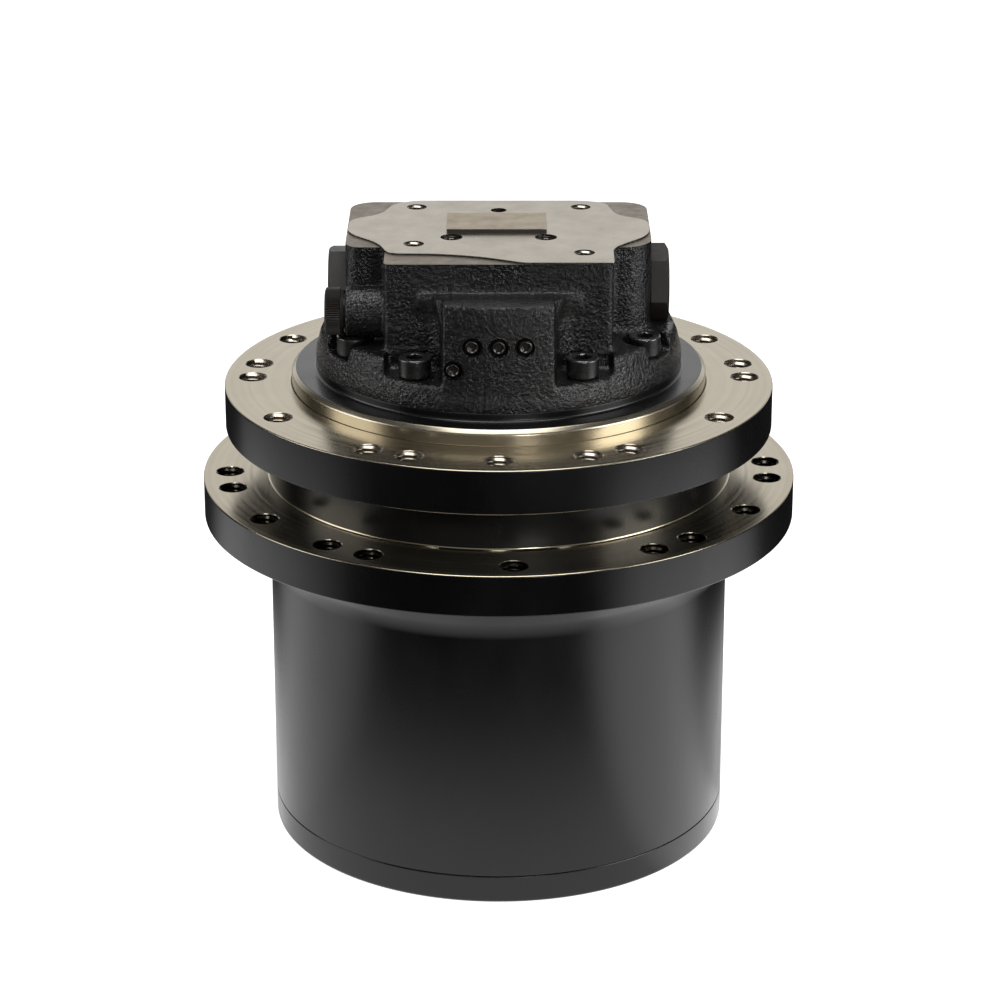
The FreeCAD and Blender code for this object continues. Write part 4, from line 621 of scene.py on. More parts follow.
gearbox_cover = as_object("cover", spun([
    (0, 0, 0), (DRUM_RADIUS, 0, 1.8), (DRUM_RADIUS, RIM_BOTTOM, 0.7),
    (RING_ROOT + 5, RIM_BOTTOM, 0), (RING_ROOT + 5, RIM_BOTTOM - 2.4, 0),
    (RING_ROOT + 1, RIM_BOTTOM - 2.4, 0), (RING_ROOT + 1, RIM_BOTTOM, 0),
    (RING_TIP - 4, RIM_BOTTOM, 0.5), (RING_TIP - 8, RIM_BOTTOM - 3, 0.5),
    (28, RIM_BOTTOM - 3, 0.5), (28, RIM_BOTTOM, 0.5), (12.2, RIM_BOTTOM, 0),
    (12.2, RIM_BOTTOM - 4, 0), (0, RIM_BOTTOM - 4, 0)]))
carved(gearbox_cover, joined([
    ring_of(cover_pocket, COVER_BOLT_CIRCLE, COVER_BOLTS),
    ring_of(plug_pocket, PLUG_CIRCLE, PLUG_ANGLES)]))
finished(gearbox_cover, "gearbox_end_cover", [SATIN_ENAMEL], "sprocket_side", ["gearbox_cover"])

# %% [markdown]
# ## The fixed casting
# The frame flange bolts to the track frame. Its top and the side of its pilot are bare turned
# iron, and its rim and the seat of the motor cover are enamelled. Inside are the bearing seats and
# the motor's bore. It is spun and bored like the drum.

# %% Frame flange and spindle
SPINDLE_FLOOR = node_box("spindle")[0].z
BEARING_SEAT, BEARING_END = 70.0, SPINDLE_FLOOR + 64
MOTOR_FLOOR = SPINDLE_FLOOR + 25
SEAL_SHELF = NECK_TOP + 11.5
GROOVE_OUTER, GROOVE_INNER, GROOVE_DEPTH = 69, 65.5, 2.4
BRAKE_ROOM, BRAKE_DEPTH, DISC_ROOM, DISC_DEPTH, MOTOR_ROOM = 64, 19, 55, 50, 50
SHAFT_BEARING_BORE, SHAFT_SEAL_BORE, SHAFT_HOLE = 31, 23, 17


def spindle_material(polygon):
    """0 enamel, 1 turned iron on the flange's top, pilot and lower edge, 2 tapped iron inside."""
    centre = polygon.center / MM
    radius = math.hypot(centre.x, centre.y)
    if abs(radius - FRAME_CIRCLE) < MOUTH and centre.z < FRAME_FACE - 0.02 and (
            centre.z > FRAME_UNDERSIDE + 0.02):
        return 2
    if centre.z > PILOT_TOP - 0.5 and COVER_RADIUS - 0.2 < radius < FRAME_PILOT - 2:
        return 0
    if centre.z > FRAME_FACE - 0.3 and FRAME_EDGE - 0.15 > radius > COVER_RADIUS - 1:
        return 1
    if centre.z < FRAME_UNDERSIDE + 0.35 and radius > FRAME_EDGE - 0.6:
        return 1
    return 0 if radius > SEAL_POCKET - 1 else 2


def seat_thread_tool():
    return spun([(0, SEAT_TOP - 20, 0), (5, SEAT_TOP - 20, 0), (5, SEAT_TOP + 1, 0),
                 (0, SEAT_TOP + 1, 0)], steps=24)


COVER_SCREW_CIRCLE = 80.3
COVER_SCREW_ANGLES = [270 - 64.2, 270 - 30.5, 270 + 30.5, 270 + 64.2, 90 - 30.5, 90 + 30.5]
spindle = as_object("spindle", spun([
    (SHAFT_HOLE, SPINDLE_FLOOR, 0), (BEARING_SEAT, SPINDLE_FLOOR, 0.8),
    (BEARING_SEAT, BEARING_END, 0), (BEARING_SEAT + 8, BEARING_END, 0.5),
    (BEARING_SEAT + 8, SEAL_SHELF, 0), (SEAL_POCKET, SEAL_SHELF, 0),
    (SEAL_POCKET, FRAME_UNDERSIDE, 0.5),
    (FRAME_EDGE, FRAME_UNDERSIDE, 1.0), (FRAME_EDGE, FRAME_FACE, 0.9),
    (FRAME_PILOT + 0.4, FRAME_FACE, 0.3), (FRAME_PILOT + 0.4, FRAME_FACE - 0.6, 0.2),
    (FRAME_PILOT, FRAME_FACE - 0.6, 0.2), (FRAME_PILOT, PILOT_TOP - 2.2, 0.6),
    (FRAME_PILOT - 2.2, PILOT_TOP, 0.6), (COVER_RADIUS, PILOT_TOP, 1.2),
    (COVER_RADIUS, SEAT_TOP, 0.3), (GROOVE_OUTER, SEAT_TOP, 0),
    (GROOVE_OUTER, SEAT_TOP - GROOVE_DEPTH, 0), (GROOVE_INNER, SEAT_TOP - GROOVE_DEPTH, 0),
    (GROOVE_INNER, SEAT_TOP, 0), (BRAKE_ROOM, SEAT_TOP, 0), (BRAKE_ROOM, SEAT_TOP - BRAKE_DEPTH, 0),
    (DISC_ROOM, SEAT_TOP - BRAKE_DEPTH, 0), (DISC_ROOM, SEAT_TOP - DISC_DEPTH, 0),
    (MOTOR_ROOM, SEAT_TOP - DISC_DEPTH, 0), (MOTOR_ROOM, MOTOR_FLOOR, 0),
    (SHAFT_BEARING_BORE, MOTOR_FLOOR, 0), (SHAFT_BEARING_BORE, MOTOR_FLOOR - 16, 0),
    (SHAFT_SEAL_BORE, MOTOR_FLOOR - 16, 0), (SHAFT_SEAL_BORE, SPINDLE_FLOOR + 1.5, 0),
    (SHAFT_HOLE, SPINDLE_FLOOR + 1.5, 0)]))
carved(spindle, joined([
    ring_of(lambda: bore(THREAD_OUTER, MOUTH, FRAME_UNDERSIDE, FRAME_FACE), FRAME_CIRCLE,
            FRAME_HOLES),
    ring_of(seat_thread_tool, COVER_SCREW_CIRCLE, COVER_SCREW_ANGLES)]))
finished(spindle, "frame_flange_and_spindle", [SATIN_ENAMEL, TURNED_IRON, TAPPED_IRON],
         "frame_side", ["spindle"], spindle_material)

frame_threads = as_object("threads", ring_of(
    lambda: ridge(THREAD_OUTER, TAP_RADIUS, THREAD_PITCH, FRAME_UNDERSIDE + 0.6, FRAME_FACE - 0.1,
                  FRAME_FACE, MOUTH), FRAME_CIRCLE, FRAME_HOLES))
finished(frame_threads, "frame_flange_threads", [TAPPED_IRON], "frame_side", ["spindle"])

# %% [markdown]
# ## The motor cover
# The cover is a sand casting, so nothing on it is sharp: every corner has the radius of the
# moulder's tool. Its simple solids are put into one mesh, overlapping. A voxel remesh melts them
# into one skin, and a few rounds of smoothing give the soft fillets. Only then come the cuts of
# the milling machine and the drills, which stay crisp.

# %% Blocks of the casting
BLOCK_HALF, BLOCK_FRONT, BLOCK_REAR = 56, -56.5, 56
SHOULDER_HALF, SHOULDER_FRONT = 76, -27
BOSS_HALF, BOSS_FOOT, BOSS_RADIUS, BOSS_TOP = 27, 41, 91, SEAT_TOP + 44.5
BOSS_SLOPE = 0.155
POCKET_FLOOR, RIM_TOP, RIM_TOP_RADIUS = SEAT_TOP + 11.6, SEAT_TOP + 20.5, 88.5
CAST_TOP, SPOOL_LEVEL, SPOOL_DEPTH = COVER_TOP - 1, SEAT_TOP + 35, 8
FRONT_SCREWS = [(sign * 40.8, -69.2) for sign in (-1, 1)]
SIDE_SCREWS = [(sign * 72.3, -34.9) for sign in (-1, 1)]
REAR_SCREWS = [(sign * 40.8, 69.2) for sign in (-1, 1)]
COVER_SCREWS = FRONT_SCREWS + SIDE_SCREWS + REAR_SCREWS
PILOT_PORT = (-SHOULDER_HALF, -38, SPOOL_LEVEL)


def upright(corners, bottom, top):
    """A block over (x, y, rounding) corners."""
    bm = bmesh.new()
    face = rounded_face(bm, [(x, y, bottom, rounding) for x, y, rounding in corners])
    raised = bmesh.ops.extrude_face_region(bm, geom=[face], use_keep_orig=True)["geom"]
    upper = [item for item in raised if isinstance(item, bmesh.types.BMVert)]
    bmesh.ops.translate(bm, vec=(0, 0, (top - bottom) * MM), verts=upper)
    bmesh.ops.recalc_face_normals(bm, faces=bm.faces[:])
    return bm


def slab(x_range, y_range, z_range, rounding=0):
    (left, right), (near, far) = x_range, y_range
    return upright([(left, near, rounding), (right, near, rounding), (right, far, rounding),
                    (left, far, rounding)], *z_range)


def round_bar(radius, start, end, towards, steps=48, rounding=0):
    """A bar along "X" or "Y" through the point (x, y, z) of its axis, from start to end."""
    bm = spun([(0, start, 0), (radius, start, rounding), (radius, end, rounding), (0, end, 0)], steps)
    turn = Matrix.Rotation(math.radians(90), 4, "Y" if towards[0] == "X" else "X")
    if towards[0] == "Y":
        turn = turn.inverted()
    x, y, z = towards[1]
    return moved(bm, place_at(x, y, z) @ turn)


def post(x, y, radius, bottom, top, steps=40):
    return moved(spun([(0, bottom, 0), (radius, bottom, 0), (radius, top, 0), (0, top, 0)], steps),
                 place_at(x, y, 0))


def taken(thing):
    """The mesh of a helper shape, which is dropped."""
    bm = bmesh.new()
    bm.from_mesh(thing.data)
    bpy.data.objects.remove(thing)
    return bm


def cut_flat(thing, point, outward):
    """Take off all that lies on the outward side of a plane, and close the cut with one face."""
    bm = bmesh.new()
    bm.from_mesh(thing.data)
    bmesh.ops.bisect_plane(bm, geom=bm.verts[:] + bm.edges[:] + bm.faces[:],
                           plane_co=Vector(point) * MM, plane_no=outward, dist=0.00001,
                           clear_outer=True)
    bmesh.ops.contextual_create(bm, geom=[edge for edge in bm.edges if edge.is_boundary])
    bmesh.ops.recalc_face_normals(bm, faces=bm.faces[:])
    bm.to_mesh(thing.data)
    bm.free()


# %% Base, boss and block
block_corners = [
    (-BLOCK_HALF, BLOCK_FRONT, 2.5), (BLOCK_HALF, BLOCK_FRONT, 2.5), (BLOCK_HALF, SHOULDER_FRONT, 3),
    (SHOULDER_HALF, SHOULDER_FRONT, 14.9), (SHOULDER_HALF, BLOCK_REAR, 12.9),
    (-SHOULDER_HALF, BLOCK_REAR, 12.9), (-SHOULDER_HALF, SHOULDER_FRONT, 8),
    (-BLOCK_HALF, SHOULDER_FRONT, 3)]
foot_corners = [(-BLOCK_HALF, BLOCK_FRONT, 2), (BLOCK_HALF, BLOCK_FRONT, 2),
                (BLOCK_HALF, SHOULDER_FRONT, 2), (-BLOCK_HALF, SHOULDER_FRONT, 2)]
base = as_object("base", spun([(0, SEAT_TOP - 1.5, 0), (COVER_RADIUS, SEAT_TOP - 1.5, 0),
                               (COVER_RADIUS, SEAT_TOP + 4, 1), (RIM_TOP_RADIUS, RIM_TOP, 1.2),
                               (0, RIM_TOP, 0)], 160))
for pocket_y in ((-100, BLOCK_FRONT - 0.5), (BLOCK_REAR + 0.5, 100)):
    for sign in (-1, 1):
        near, far = sorted((sign * (BOSS_HALF + 0.5), sign * (BLOCK_HALF - 0.5)))
        carved(base, slab((near, far), pocket_y, (POCKET_FLOOR, RIM_TOP + 3), 2.5))
for x, y in SIDE_SCREWS:
    carved(base, post(x * 1.035, y * 1.06, 13.2, POCKET_FLOOR, RIM_TOP + 3))
boss = as_object("boss", spun([(0, SEAT_TOP + 2, 0), (BOSS_RADIUS + 0.6, SEAT_TOP + 2, 0),
                               (BOSS_RADIUS + 0.6, SEAT_TOP + 6, 0), (BOSS_RADIUS - 1, BOSS_TOP, 0),
                               (BOSS_RADIUS - 1.5, BOSS_TOP + 8, 0), (0, BOSS_TOP + 8, 0)], 160))
carved(boss, upright([(-BOSS_HALF, -100, 0), (BOSS_HALF, -100, 0), (BOSS_HALF, -76, 0),
                      (BOSS_FOOT, BLOCK_FRONT, 0), (BOSS_FOOT, BLOCK_FRONT + 8, 0),
                      (-BOSS_FOOT, BLOCK_FRONT + 8, 0), (-BOSS_FOOT, BLOCK_FRONT, 0),
                      (-BOSS_HALF, -76, 0)], SEAT_TOP, BOSS_TOP + 9), "INTERSECT")
cut_flat(boss, (0, BLOCK_FRONT, BOSS_TOP + 4.8), (0, BOSS_SLOPE, 1))
for x, y in FRONT_SCREWS:
    flute = spun([(0, POCKET_FLOOR, 0), (13.4, POCKET_FLOOR, 0), (13.4, BOSS_TOP - 6, 0),
                  (8, BOSS_TOP + 8, 0), (0, BOSS_TOP + 8, 0)], 48)
    carved(boss, moved(flute, place_at(x, y, 0)))
parts = [upright(block_corners, RIM_TOP - 3, CAST_TOP + 2),
         upright(foot_corners, SEAT_TOP + 2, RIM_TOP),
         round_bar(12.4, -22.6, 30, ("X", (-SHOULDER_HALF + 23, -38, SPOOL_LEVEL)), rounding=1)]
casting = as_object("casting", joined(parts + [taken(base), taken(boss)]))
print("casting blocks:", len(casting.data.polygons), "faces")

# %% Melt into one skin, and soften
VOXEL = 1.15
melt = casting.modifiers.new("one skin", "REMESH")
melt.mode, melt.voxel_size, melt.adaptivity = "VOXEL", VOXEL * MM, 0.0
soften = casting.modifiers.new("soft corners", "SMOOTH")
soften.factor, soften.iterations = 0.5, 4
applied(casting)
print("skin:", len(casting.data.polygons), "faces")

# %% [markdown]
# The cover's seat is ground flat and its top is skimmed. Both are plain cuts through the skin, and
# each open edge is closed with one flat face.

# %% Flat seat and top
cut_flat(casting, (0, 0, SEAT_TOP), (0, 0, -1))
cut_flat(casting, (0, 0, CAST_TOP), (0, 0, 1))
print("casting from", SEAT_TOP, "to", round(max(v.co.z for v in casting.data.vertices) / MM, 2))

# %% [markdown]
# Then it is drilled and bored: screw holes with spot-faced seats, the ports in the rear, the small
# plug seats in the front boss, and the recesses round the spool plugs.

# %% Bores of the cover
GAUGE_PLUGS = [(-12.8, 32.4), (0, 32.4), (12.8, 32.4), (-22, 20.2)]
TOP_TAPS = [(-42, 43), (42, 43), (-42, -24), (42, -39.3)]
SET_SCREWS = [(-23.5, -12.4), (23.5, -12.4)]
TOP_TAP, HOSE_BORE = 5.1, 10.4
TOP_HOLES = [(x, y, TOP_TAP, 19) for x, y in TOP_TAPS] + [(x, y, 5.5, 14) for x, y in SET_SCREWS]
TOP_HOLES.append((0, 37, 4, 12))
PORTS = (-24, 24)
FACING_FRONT = Matrix.Rotation(math.radians(90), 4, "X")


def boss_front(x):
    """How far forward the round front boss reaches at x."""
    return -math.sqrt(BOSS_RADIUS ** 2 - x ** 2)


tools = [post(x, y, 5.5, SEAT_TOP - 1, RIM_TOP + 5) for x, y in COVER_SCREWS]
tools += [post(0, 0, 23.5, SEAT_TOP - 1, SEAT_TOP + 18.5, 64)]
for x, rise in GAUGE_PLUGS:
    seat = spun([(0, -14, 0), (4.1, -14, 0), (4.1, -2.2, 0), (5.3, -0.6, 0), (5.3, 8, 0),
                 (0, 8, 0)], 40)
    tools.append(moved(seat, place_at(x, boss_front(x), SEAT_TOP + rise) @ FACING_FRONT))
for x in PORTS:
    tools.append(round_bar(15, 0, 12, ("Y", (x, BLOCK_REAR - 1, SPOOL_LEVEL))))
tools.append(round_bar(5.9, 0, 26, ("Y", (0, BLOCK_REAR - 14, SEAT_TOP + 52))))
carved(casting, joined(tools))
tools = [round_bar(HOSE_BORE, 0, 40, ("Y", (x, BLOCK_REAR - 22, SPOOL_LEVEL))) for x in PORTS]
tools += [post(x, y, radius, CAST_TOP - depth, CAST_TOP + 3) for x, y, radius, depth in TOP_HOLES]
carved(casting, joined(tools))
for sign in (-1, 1):
    start = SHOULDER_HALF if sign > 0 else -SHOULDER_HALF - 20
    carved(casting, round_bar(22.5, 0, 20, ("X", (start, SPOOL_DEPTH, SPOOL_LEVEL)), steps=72))
    carved(casting, round_bar(14, -12, 12, ("X", (sign * SHOULDER_HALF, SPOOL_DEPTH, SPOOL_LEVEL))))
carved(casting, round_bar(8.4, -14, 14, ("X", PILOT_PORT)))
print("bored casting:", len(casting.data.polygons), "faces")


def casting_material(polygon):
    """0 enamel, 1 bare cast skin on the skimmed top and the seat, 2 tapped iron in the holes."""
    centre = polygon.center / MM
    if centre.z > CAST_TOP - 0.05 or centre.z < SEAT_TOP + 0.05:
        return 1
    in_top = any(math.hypot(centre.x - x, centre.y - y) < 5.6 for x, y, _, _ in TOP_HOLES)
    in_port = any(math.hypot(centre.x - x, centre.z - SPOOL_LEVEL) < 15.1 for x in PORTS)
    if in_top and centre.z > CAST_TOP - 20:
        return 2
    return 2 if in_port and BLOCK_REAR - 24 < centre.y < BLOCK_REAR - 0.9 else 0


finished(casting, "cast_motor_cover", [CAST_ENAMEL, CAST_SKIN, TAPPED_IRON], "frame_side",
         ["motor_cover"], casting_material, sharp=40)

# %% [markdown]
# The top pad stands a millimetre proud of the cast top. A face mill has cut it bare, and the
# cast corners round it stay rough. Its outline winds round the old casting, so it is drawn as
# a face with rounded corners and raised. A fine bevel breaks its edge.

# %% Machined top pad
def edge_broken(bm, top, width):
    """A block with a fine bevel round its top face."""
    edges = [edge for edge in bm.edges if all(vert.co.z > (top - 0.01) * MM for vert in edge.verts)]
    bmesh.ops.bevel(bm, geom=edges, affect="EDGES", offset=width * MM, offset_type="OFFSET",
                    segments=2, profile=0.5, material=-1)
    return bm


def top_or_side(polygon):
    """0 on top, 1 on the sides."""
    return 0 if polygon.normal.z > 0.3 else 1


pad_corners = [
    (12, -56.3, 2), (56.3, -56.3, 1.5), (56.4, -31, 6), (64, -21, 8), (75.6, -8, 9), (75.6, 19, 6),
    (59.5, 28.5, 7), (55, 52, 6), (42, 55.6, 3), (-42, 55.6, 3), (-54, 50, 6), (-59.5, 30, 7),
    (-75.6, 20, 6), (-75.6, -4, 6), (-59.5, -22, 8), (-54.5, -40.5, 6), (-18, -41.5, 18)]
pad = as_object("pad", edge_broken(upright(pad_corners, CAST_TOP - 0.2, COVER_TOP), COVER_TOP, 0.22))
carved(pad, joined([post(x, y, radius, CAST_TOP - 3, COVER_TOP + 3)
                    for x, y, radius, _ in TOP_HOLES]))
finished(pad, "machined_top_pad", [MILLED_IRON, CAST_ENAMEL], "frame_side", ["motor_cover"],
         top_or_side)

# %% Threads of the cover
top_threads = [moved(ridge(TOP_TAP, 4.25, 1.5, CAST_TOP - 18, COVER_TOP - 0.1, COVER_TOP, 5.4),
                     place_at(x, y, 0)) for x, y in TOP_TAPS]
turn = Matrix.Rotation(math.radians(-90), 4, "X")
top_threads += [moved(ridge(HOSE_BORE, 9.3, 1.8, 0, 20.4, 20.5, 10.6),
                      place_at(x, BLOCK_REAR - 21.5, SPOOL_LEVEL) @ turn) for x in PORTS]
finished(as_object("threads", joined(top_threads)), "motor_cover_threads", [TAPPED_IRON],
         "frame_side", ["motor_cover"])

# %% [markdown]
# ## Screws, plugs and caps
# Socket screws and plugs are turned, then their hexagon socket is pressed in. Here the socket is a
# cut with a six-sided tool. Their heads are blackened or phosphated steel with a small chamfer,
# which is what catches the light.

# %% Hexagons and socket heads
def hexagon(across, bottom, top, turn=0):
    """A six-sided prism by its width across the flats."""
    bm = bmesh.new()
    bmesh.ops.create_circle(bm, segments=6, radius=across / math.sqrt(3) * MM, cap_ends=True)
    bmesh.ops.rotate(bm, verts=bm.verts[:], matrix=Matrix.Rotation(math.radians(turn), 3, "Z"))
    bmesh.ops.translate(bm, verts=bm.verts[:], vec=(0, 0, bottom * MM))
    raised = bmesh.ops.extrude_face_region(bm, geom=bm.faces[:], use_keep_orig=True)["geom"]
    upper = [item for item in raised if isinstance(item, bmesh.types.BMVert)]
    bmesh.ops.translate(bm, verts=upper, vec=(0, 0, (top - bottom) * MM))
    bmesh.ops.recalc_face_normals(bm, faces=bm.faces[:])
    return bm


def socket_head(section, across, floor, top):
    """A turned head with a hexagon socket that has a small mouth."""
    head = carved(as_object("head", spun(section, 48)), hexagon(across, floor, top + 1))
    half = across * 0.5
    mouth = spun([(0, top - 0.5, 0), (half, top - 0.5, 0), (half + 1.2, top + 0.7, 0),
                  (0, top + 0.7, 0)], 48)
    return taken(carved(head, mouth))


COVER_SCREW = [(0, -8, 0), (5, -8, 0), (5, 0, 0), (7.2, 0, 0.2), (7.6, 0.8, 0.3), (8, 1.0, 0.3),
               (8, 10, 0.9), (0, 10, 0)]
screws = []
for index, (x, y) in enumerate(COVER_SCREWS):
    spot = place_at(x, y, POCKET_FLOOR) @ Matrix.Rotation(0.7 * index, 4, "Z")
    screws.append(moved(socket_head(COVER_SCREW, 8, 4.5, 10), spot))
finished(as_object("screws", joined(screws)), "motor_cover_socket_screws", [BLACK_OXIDE],
         "frame_side", ["motor_cover_screws"])

# %% Plugs of the gauge ports and of the top
PLUG = [(0, -6, 0), (4.05, -6, 0), (4.05, -1.1, 0), (2.9, 0, 0.2), (0, 0, 0)]
plugs = []
for index, (x, rise) in enumerate(GAUGE_PLUGS):
    spot = place_at(x, boss_front(x) + 1.5, SEAT_TOP + rise) @ FACING_FRONT
    tightened = Matrix.Rotation(0.4 * index, 4, "Z")
    plugs.append(moved(socket_head(PLUG, 4, -3, 0), spot @ tightened))
finished(as_object("plugs", joined(plugs)), "gauge_port_socket_plugs", [PLUG_FACE], "frame_side",
         ["gauge_port_plugs"])
TOP_PLUG = [(0, -8, 0), (5, -8, 0), (5, 0, 0.9), (0, 0, 0)]
top_plugs = [moved(socket_head(TOP_PLUG, 5, -3, 0), place_at(x, y, COVER_TOP - 1.4))
             for x, y in SET_SCREWS]
finished(as_object("plugs", joined(top_plugs)), "top_port_socket_plugs", [PLUG_FACE], "frame_side",
         ["top_port_plugs"])

# %% Hexagon plugs that close the spool bore
def spool_plug(sign, turn):
    """A hexagon head whose corners are turned off, on a short shank."""
    head = as_object("head", hexagon(36, 0.4, 9.6, turn))
    carved(head, spun([(0, 0, 0), (22, 0, 0), (22, 7.2, 0.8), (17.6, 9.7, 0.4), (0, 9.7, 0)], 72),
           "INTERSECT")
    shank = spun([(0, -11.5, 0), (13.9, -11.5, 0.5), (13.9, 0.4, 0), (0, 0.4, 0)], 48)
    turn_to_side = Matrix.Rotation(math.radians(90 * sign), 4, "Y")
    return moved(joined([taken(head), shank]),
                 place_at(sign * SHOULDER_HALF, SPOOL_DEPTH, SPOOL_LEVEL) @ turn_to_side)


finished(as_object("plugs", joined([spool_plug(-1, 8), spool_plug(1, 10)])), "spool_bore_hex_plugs",
         [PHOSPHATED_STEEL], "frame_side", ["spool_caps"])

# %% [markdown]
# The cap of the pilot port is tightened by hand, so its rim is knurled: straight ribs, here 66 of
# them. The rim is spun with two columns of corners to a rib, and every second column sinks.

# %% Knurled cap
RIBS = 66
RIB_FLOOR = 0.945
cap = spun([(0, -8.5, 0), (8.3, -8.5, 0.5), (8.3, 0.3, 0), (9.6, 0.3, 0), (10.4, 1.8, 0.3),
            (11.75, 1.9, 0.3), (11.75, 8.9, 0.5), (9.9, 9.6, 0.4), (0, 9.6, 0)], RIBS * 2)
for vert in cap.verts:
    radius = math.hypot(vert.co.x, vert.co.y) / MM
    column = round(math.atan2(vert.co.y, vert.co.x) / math.tau * RIBS * 2)
    if radius > 11 and column % 2:
        vert.co.xy *= RIB_FLOOR
moved(cap, place_at(*PILOT_PORT) @ Matrix.Rotation(math.radians(-90), 4, "Y"))
finished(as_object("cap", cap), "knurled_cap", [PHOSPHATED_STEEL], "frame_side",
         ["knurled_port_cap"], sharp=24)

# %% [markdown]
# The data plate is left blank. It is a thin aluminium strip, brushed from side to side, with its
# edges just broken, and it is cemented to the milled face.

# %% Blank plate
PLATE_TOP = COVER_TOP + 2
plate = slab((-26, 24), (-4.8, 25.2), (COVER_TOP, PLATE_TOP), rounding=0.8)
# The plate's sides take the dark phosphated steel as painted shade; the strip itself is aluminium all
# through.
finished(as_object("plate", edge_broken(plate, PLATE_TOP, 0.2)), "blank_name_plate",
         [BRUSHED_ALUMINIUM, PHOSPHATED_STEEL], "frame_side", ["name_plate"],
         top_or_side)

# %% [markdown]
# ## Camera
# A long lens from 1.7 metres keeps the round flanges true. It looks down about twenty degrees,
# which shows the flange tops as flat ovals.

# %% Camera
LOOK_DOWN = 20.13
lens = bpy.data.cameras.new("camera")
lens.lens, lens.sensor_width = 119.64, 36
lens.shift_x, lens.shift_y = 0.0013, -0.0338
camera = bpy.data.objects.new("camera", lens)
camera.location = (0, -1.6029, 0.7771)
camera.rotation_euler = (math.radians(90 - LOOK_DOWN), 0, 0)
bpy.context.scene.collection.objects.link(camera)
bpy.context.scene.camera = camera
bpy.context.scene.view_settings.view_transform = "Standard"
print("camera looks down", LOOK_DOWN, "degrees")

# %% [markdown]
# ## Surround, floor and lamps
# Polished and enamelled metal shows what stands round it, so the surround matters as much as the
# lamps. The room is white to the camera. To a reflection it is white behind the drive, grey to
# both sides and straight ahead, and nearly black in between. That makes the rims black and the
# bare faces bright.

# %% White surround
WHITE = linear("#FFFFFF")
world = bpy.data.worlds.new("surround")
bpy.context.scene.world = world
world.use_nodes = True
tree = world.node_tree
tree.nodes.clear()
rays = add(tree, "ShaderNodeLightPath")
direction = add(tree, "ShaderNodeSeparateXYZ", {"Vector": (add(tree, "ShaderNodeTexCoord"), "Generated")})
behind = add(tree, "ShaderNodeMapRange", {"Value": (direction, "Y"), "From Min": 0.62,
                                          "From Max": 0.88, "To Min": 0.03, "To Max": 1.0})
front = add(tree, "ShaderNodeMapRange", {"Value": (direction, "Y"), "From Min": -0.55,
                                         "From Max": -0.85, "To Min": 0.0, "To Max": 0.3})
across = add(tree, "ShaderNodeMath", {0: (direction, "X")}, operation="ABSOLUTE")
beside = add(tree, "ShaderNodeMapRange", {"Value": (across, "Value"), "From Min": 0.86,
                                          "From Max": 0.97, "To Min": 0.0, "To Max": 0.3})
sides = add(tree, "ShaderNodeMath", {0: (front, "Result"), 1: (beside, "Result")}, operation="MAXIMUM")
room = add(tree, "ShaderNodeMath", {0: (behind, "Result"), 1: (sides, "Value")}, operation="MAXIMUM")
mirrored = add(tree, "ShaderNodeMath", {0: (rays, "Is Glossy Ray"), 1: (rays, "Is Transmission Ray")},
               operation="MAXIMUM")
soft = add(tree, "ShaderNodeBackground", {"Color": WHITE, "Strength": 0.55})
shown = add(tree, "ShaderNodeBackground", {"Color": WHITE, "Strength": (room, "Value")})
white = add(tree, "ShaderNodeBackground", {"Color": WHITE, "Strength": 1.0})
for_metal = add(tree, "ShaderNodeMixShader", {0: (mirrored, "Value"), 1: (soft, "Background"),
                                              2: (shown, "Background")})
for_camera = add(tree, "ShaderNodeMixShader", {0: (rays, "Is Camera Ray"), 1: (for_metal, "Shader"),
                                               2: (white, "Background")})
add(tree, "ShaderNodeOutputWorld", {"Surface": (for_camera, "Shader")})
print("surround:", world.name)

# %% [markdown]
# The floor is white to the camera and keeps the drive's soft shadow. The enamel of the drum is a
# dark mirror of it, so what the floor shows to a reflection draws the two long bright bands on the
# drum. To reflections alone the floor glows with painted light: bright close to the drive, fading
# out by 0.4 m, with one wide painted fan of light to each side.

# %% Pale floor
floor_bm = bmesh.new()
bmesh.ops.create_grid(floor_bm, x_segments=1, y_segments=1, size=6)
floor = as_object("floor", floor_bm)
material, tree, place = new_material("pale_floor")
rays = add(tree, "ShaderNodeLightPath")
away = add(tree, "ShaderNodeVectorMath", {0: place}, operation="LENGTH")
bearing = add(tree, "ShaderNodeVectorMath", {0: place}, operation="NORMALIZE")


def painted_light_fan(towards, wide, strength):
    """A painted fan of light on the floor towards one side, seen only in reflections, that fades past 0.6
    m.
    """
    facing = add(tree, "ShaderNodeVectorMath", {0: (bearing, "Vector"), 1: towards},
                 operation="DOT_PRODUCT")
    fan = add(tree, "ShaderNodeMapRange", {
        "Value": (facing, "Value"), "From Min": wide, "From Max": 0.985, "To Min": 0.0,
        "To Max": strength}, interpolation_type="SMOOTHSTEP")
    fade = add(tree, "ShaderNodeMapRange", {"Value": (away, "Value"), "From Min": 0.58,
                                            "From Max": 0.95, "To Min": 1.0, "To Max": 0.0})
    return add(tree, "ShaderNodeMath", {0: (fan, "Result"), 1: (fade, "Result")},
               operation="MULTIPLY")
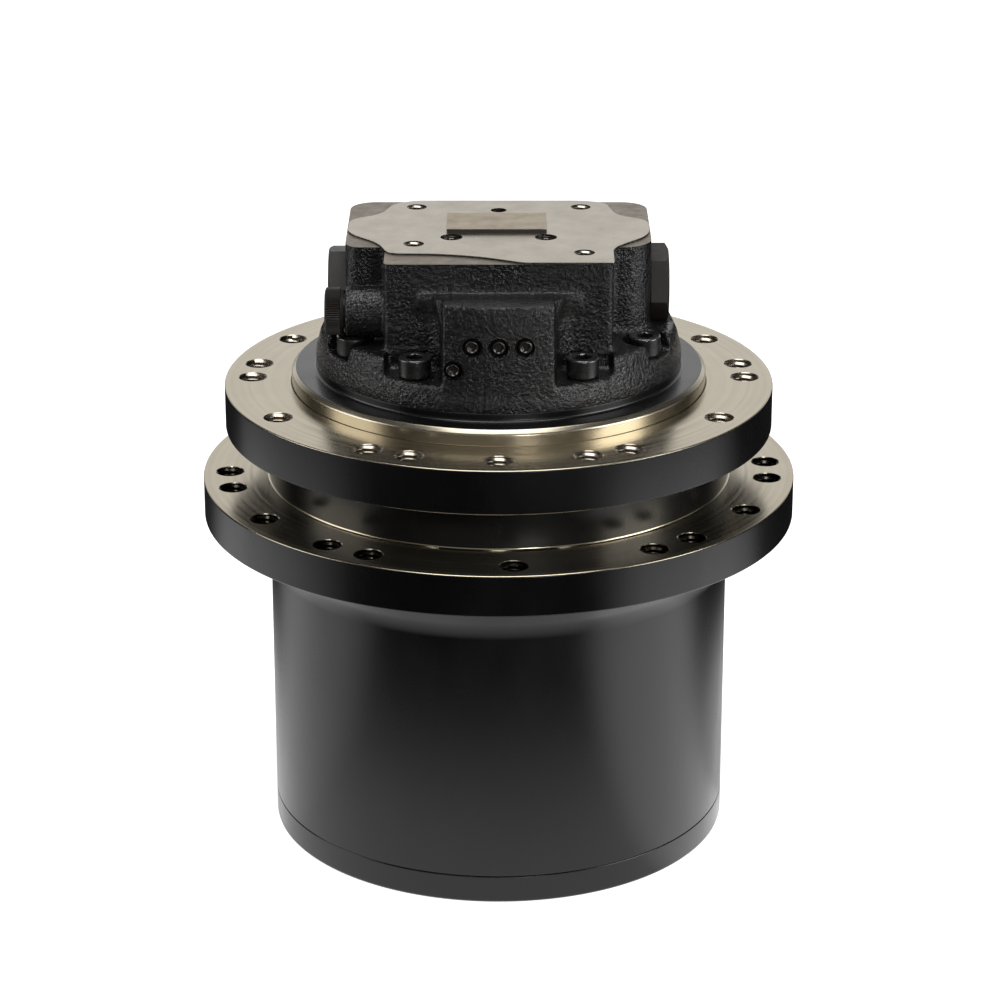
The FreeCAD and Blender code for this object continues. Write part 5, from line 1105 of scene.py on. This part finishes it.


# Painted light for reflections: a glow close to the drive, and a painted fan of light to each side.
close = add(tree, "ShaderNodeMapRange", {
    "Value": (away, "Value"), "From Min": 0.15, "From Max": 0.42, "To Min": 1.05, "To Max": 0.015},
    interpolation_type="SMOOTHSTEP")
right_painted_fan = painted_light_fan((0.940, -0.342, 0), 0.78, 1.7)
left_painted_fan = painted_light_fan((-0.990, 0.010, 0), 0.72, 1.15)
fans = add(tree, "ShaderNodeMath", {0: (right_painted_fan, "Value"), 1: (left_painted_fan, "Value")},
           operation="MAXIMUM")
fading = add(tree, "ShaderNodeMath", {0: (close, "Result"), 1: (fans, "Value")},
             operation="MAXIMUM")
matt = add(tree, "ShaderNodeBsdfDiffuse", {"Color": linear("#C9C9C9")})
lift = add(tree, "ShaderNodeEmission", {"Color": WHITE, "Strength": 0.82})
nothing = add(tree, "ShaderNodeEmission", {"Color": WHITE, "Strength": 0.0})
lifted = add(tree, "ShaderNodeMixShader", {0: (rays, "Is Camera Ray"), 1: (nothing, "Emission"),
                                           2: (lift, "Emission")})
seen = add(tree, "ShaderNodeAddShader", {0: (matt, "BSDF"), 1: (lifted, "Shader")})
glow = add(tree, "ShaderNodeEmission", {"Color": WHITE, "Strength": (fading, "Value")})
mirrored = add(tree, "ShaderNodeMath", {0: (rays, "Is Glossy Ray"), 1: (rays, "Is Transmission Ray")},
               operation="MAXIMUM")
both = add(tree, "ShaderNodeMixShader", {0: (mirrored, "Value"), 1: (seen, "Shader"),
                                         2: (glow, "Emission")})
add(tree, "ShaderNodeOutputMaterial", {"Surface": (both, "Shader")})
floor.data.materials.append(material)
print("floor:", material.name)


# %% [markdown]
# Three wide softboxes light the drive from the left, the right and above. A small one low in front
# puts sparks on the casting's grit.

# %% Soft lamps
def soft_lamp(name, place, target, width, height, power):
    """A rectangular lamp that faces its target."""
    data = bpy.data.lights.new(name, "AREA")
    data.shape, data.size, data.size_y, data.energy = "RECTANGLE", width, height, power
    lamp = bpy.data.objects.new(name, data)
    lamp.location = place
    lamp.rotation_euler = (Vector(target) - Vector(place)).to_track_quat("-Z", "Y").to_euler()
    bpy.context.scene.collection.objects.link(lamp)


soft_lamp("left_softbox", (-1.30, -0.15, 0.70), (0, 0, 0.22), 0.8, 0.9, 6)
soft_lamp("right_softbox", (1.20, -0.50, 0.72), (0, 0, 0.22), 0.7, 0.9, 11)
soft_lamp("overhead_softbox", (0, -0.15, 1.5), (0, 0, 0.2), 0.9, 0.9, 12)
soft_lamp("front_fill", (0.45, -1.75, 0.42), (0, 0, 0.25), 0.25, 0.25, 4)
print("lamps:", [thing.name for thing in bpy.data.lights])
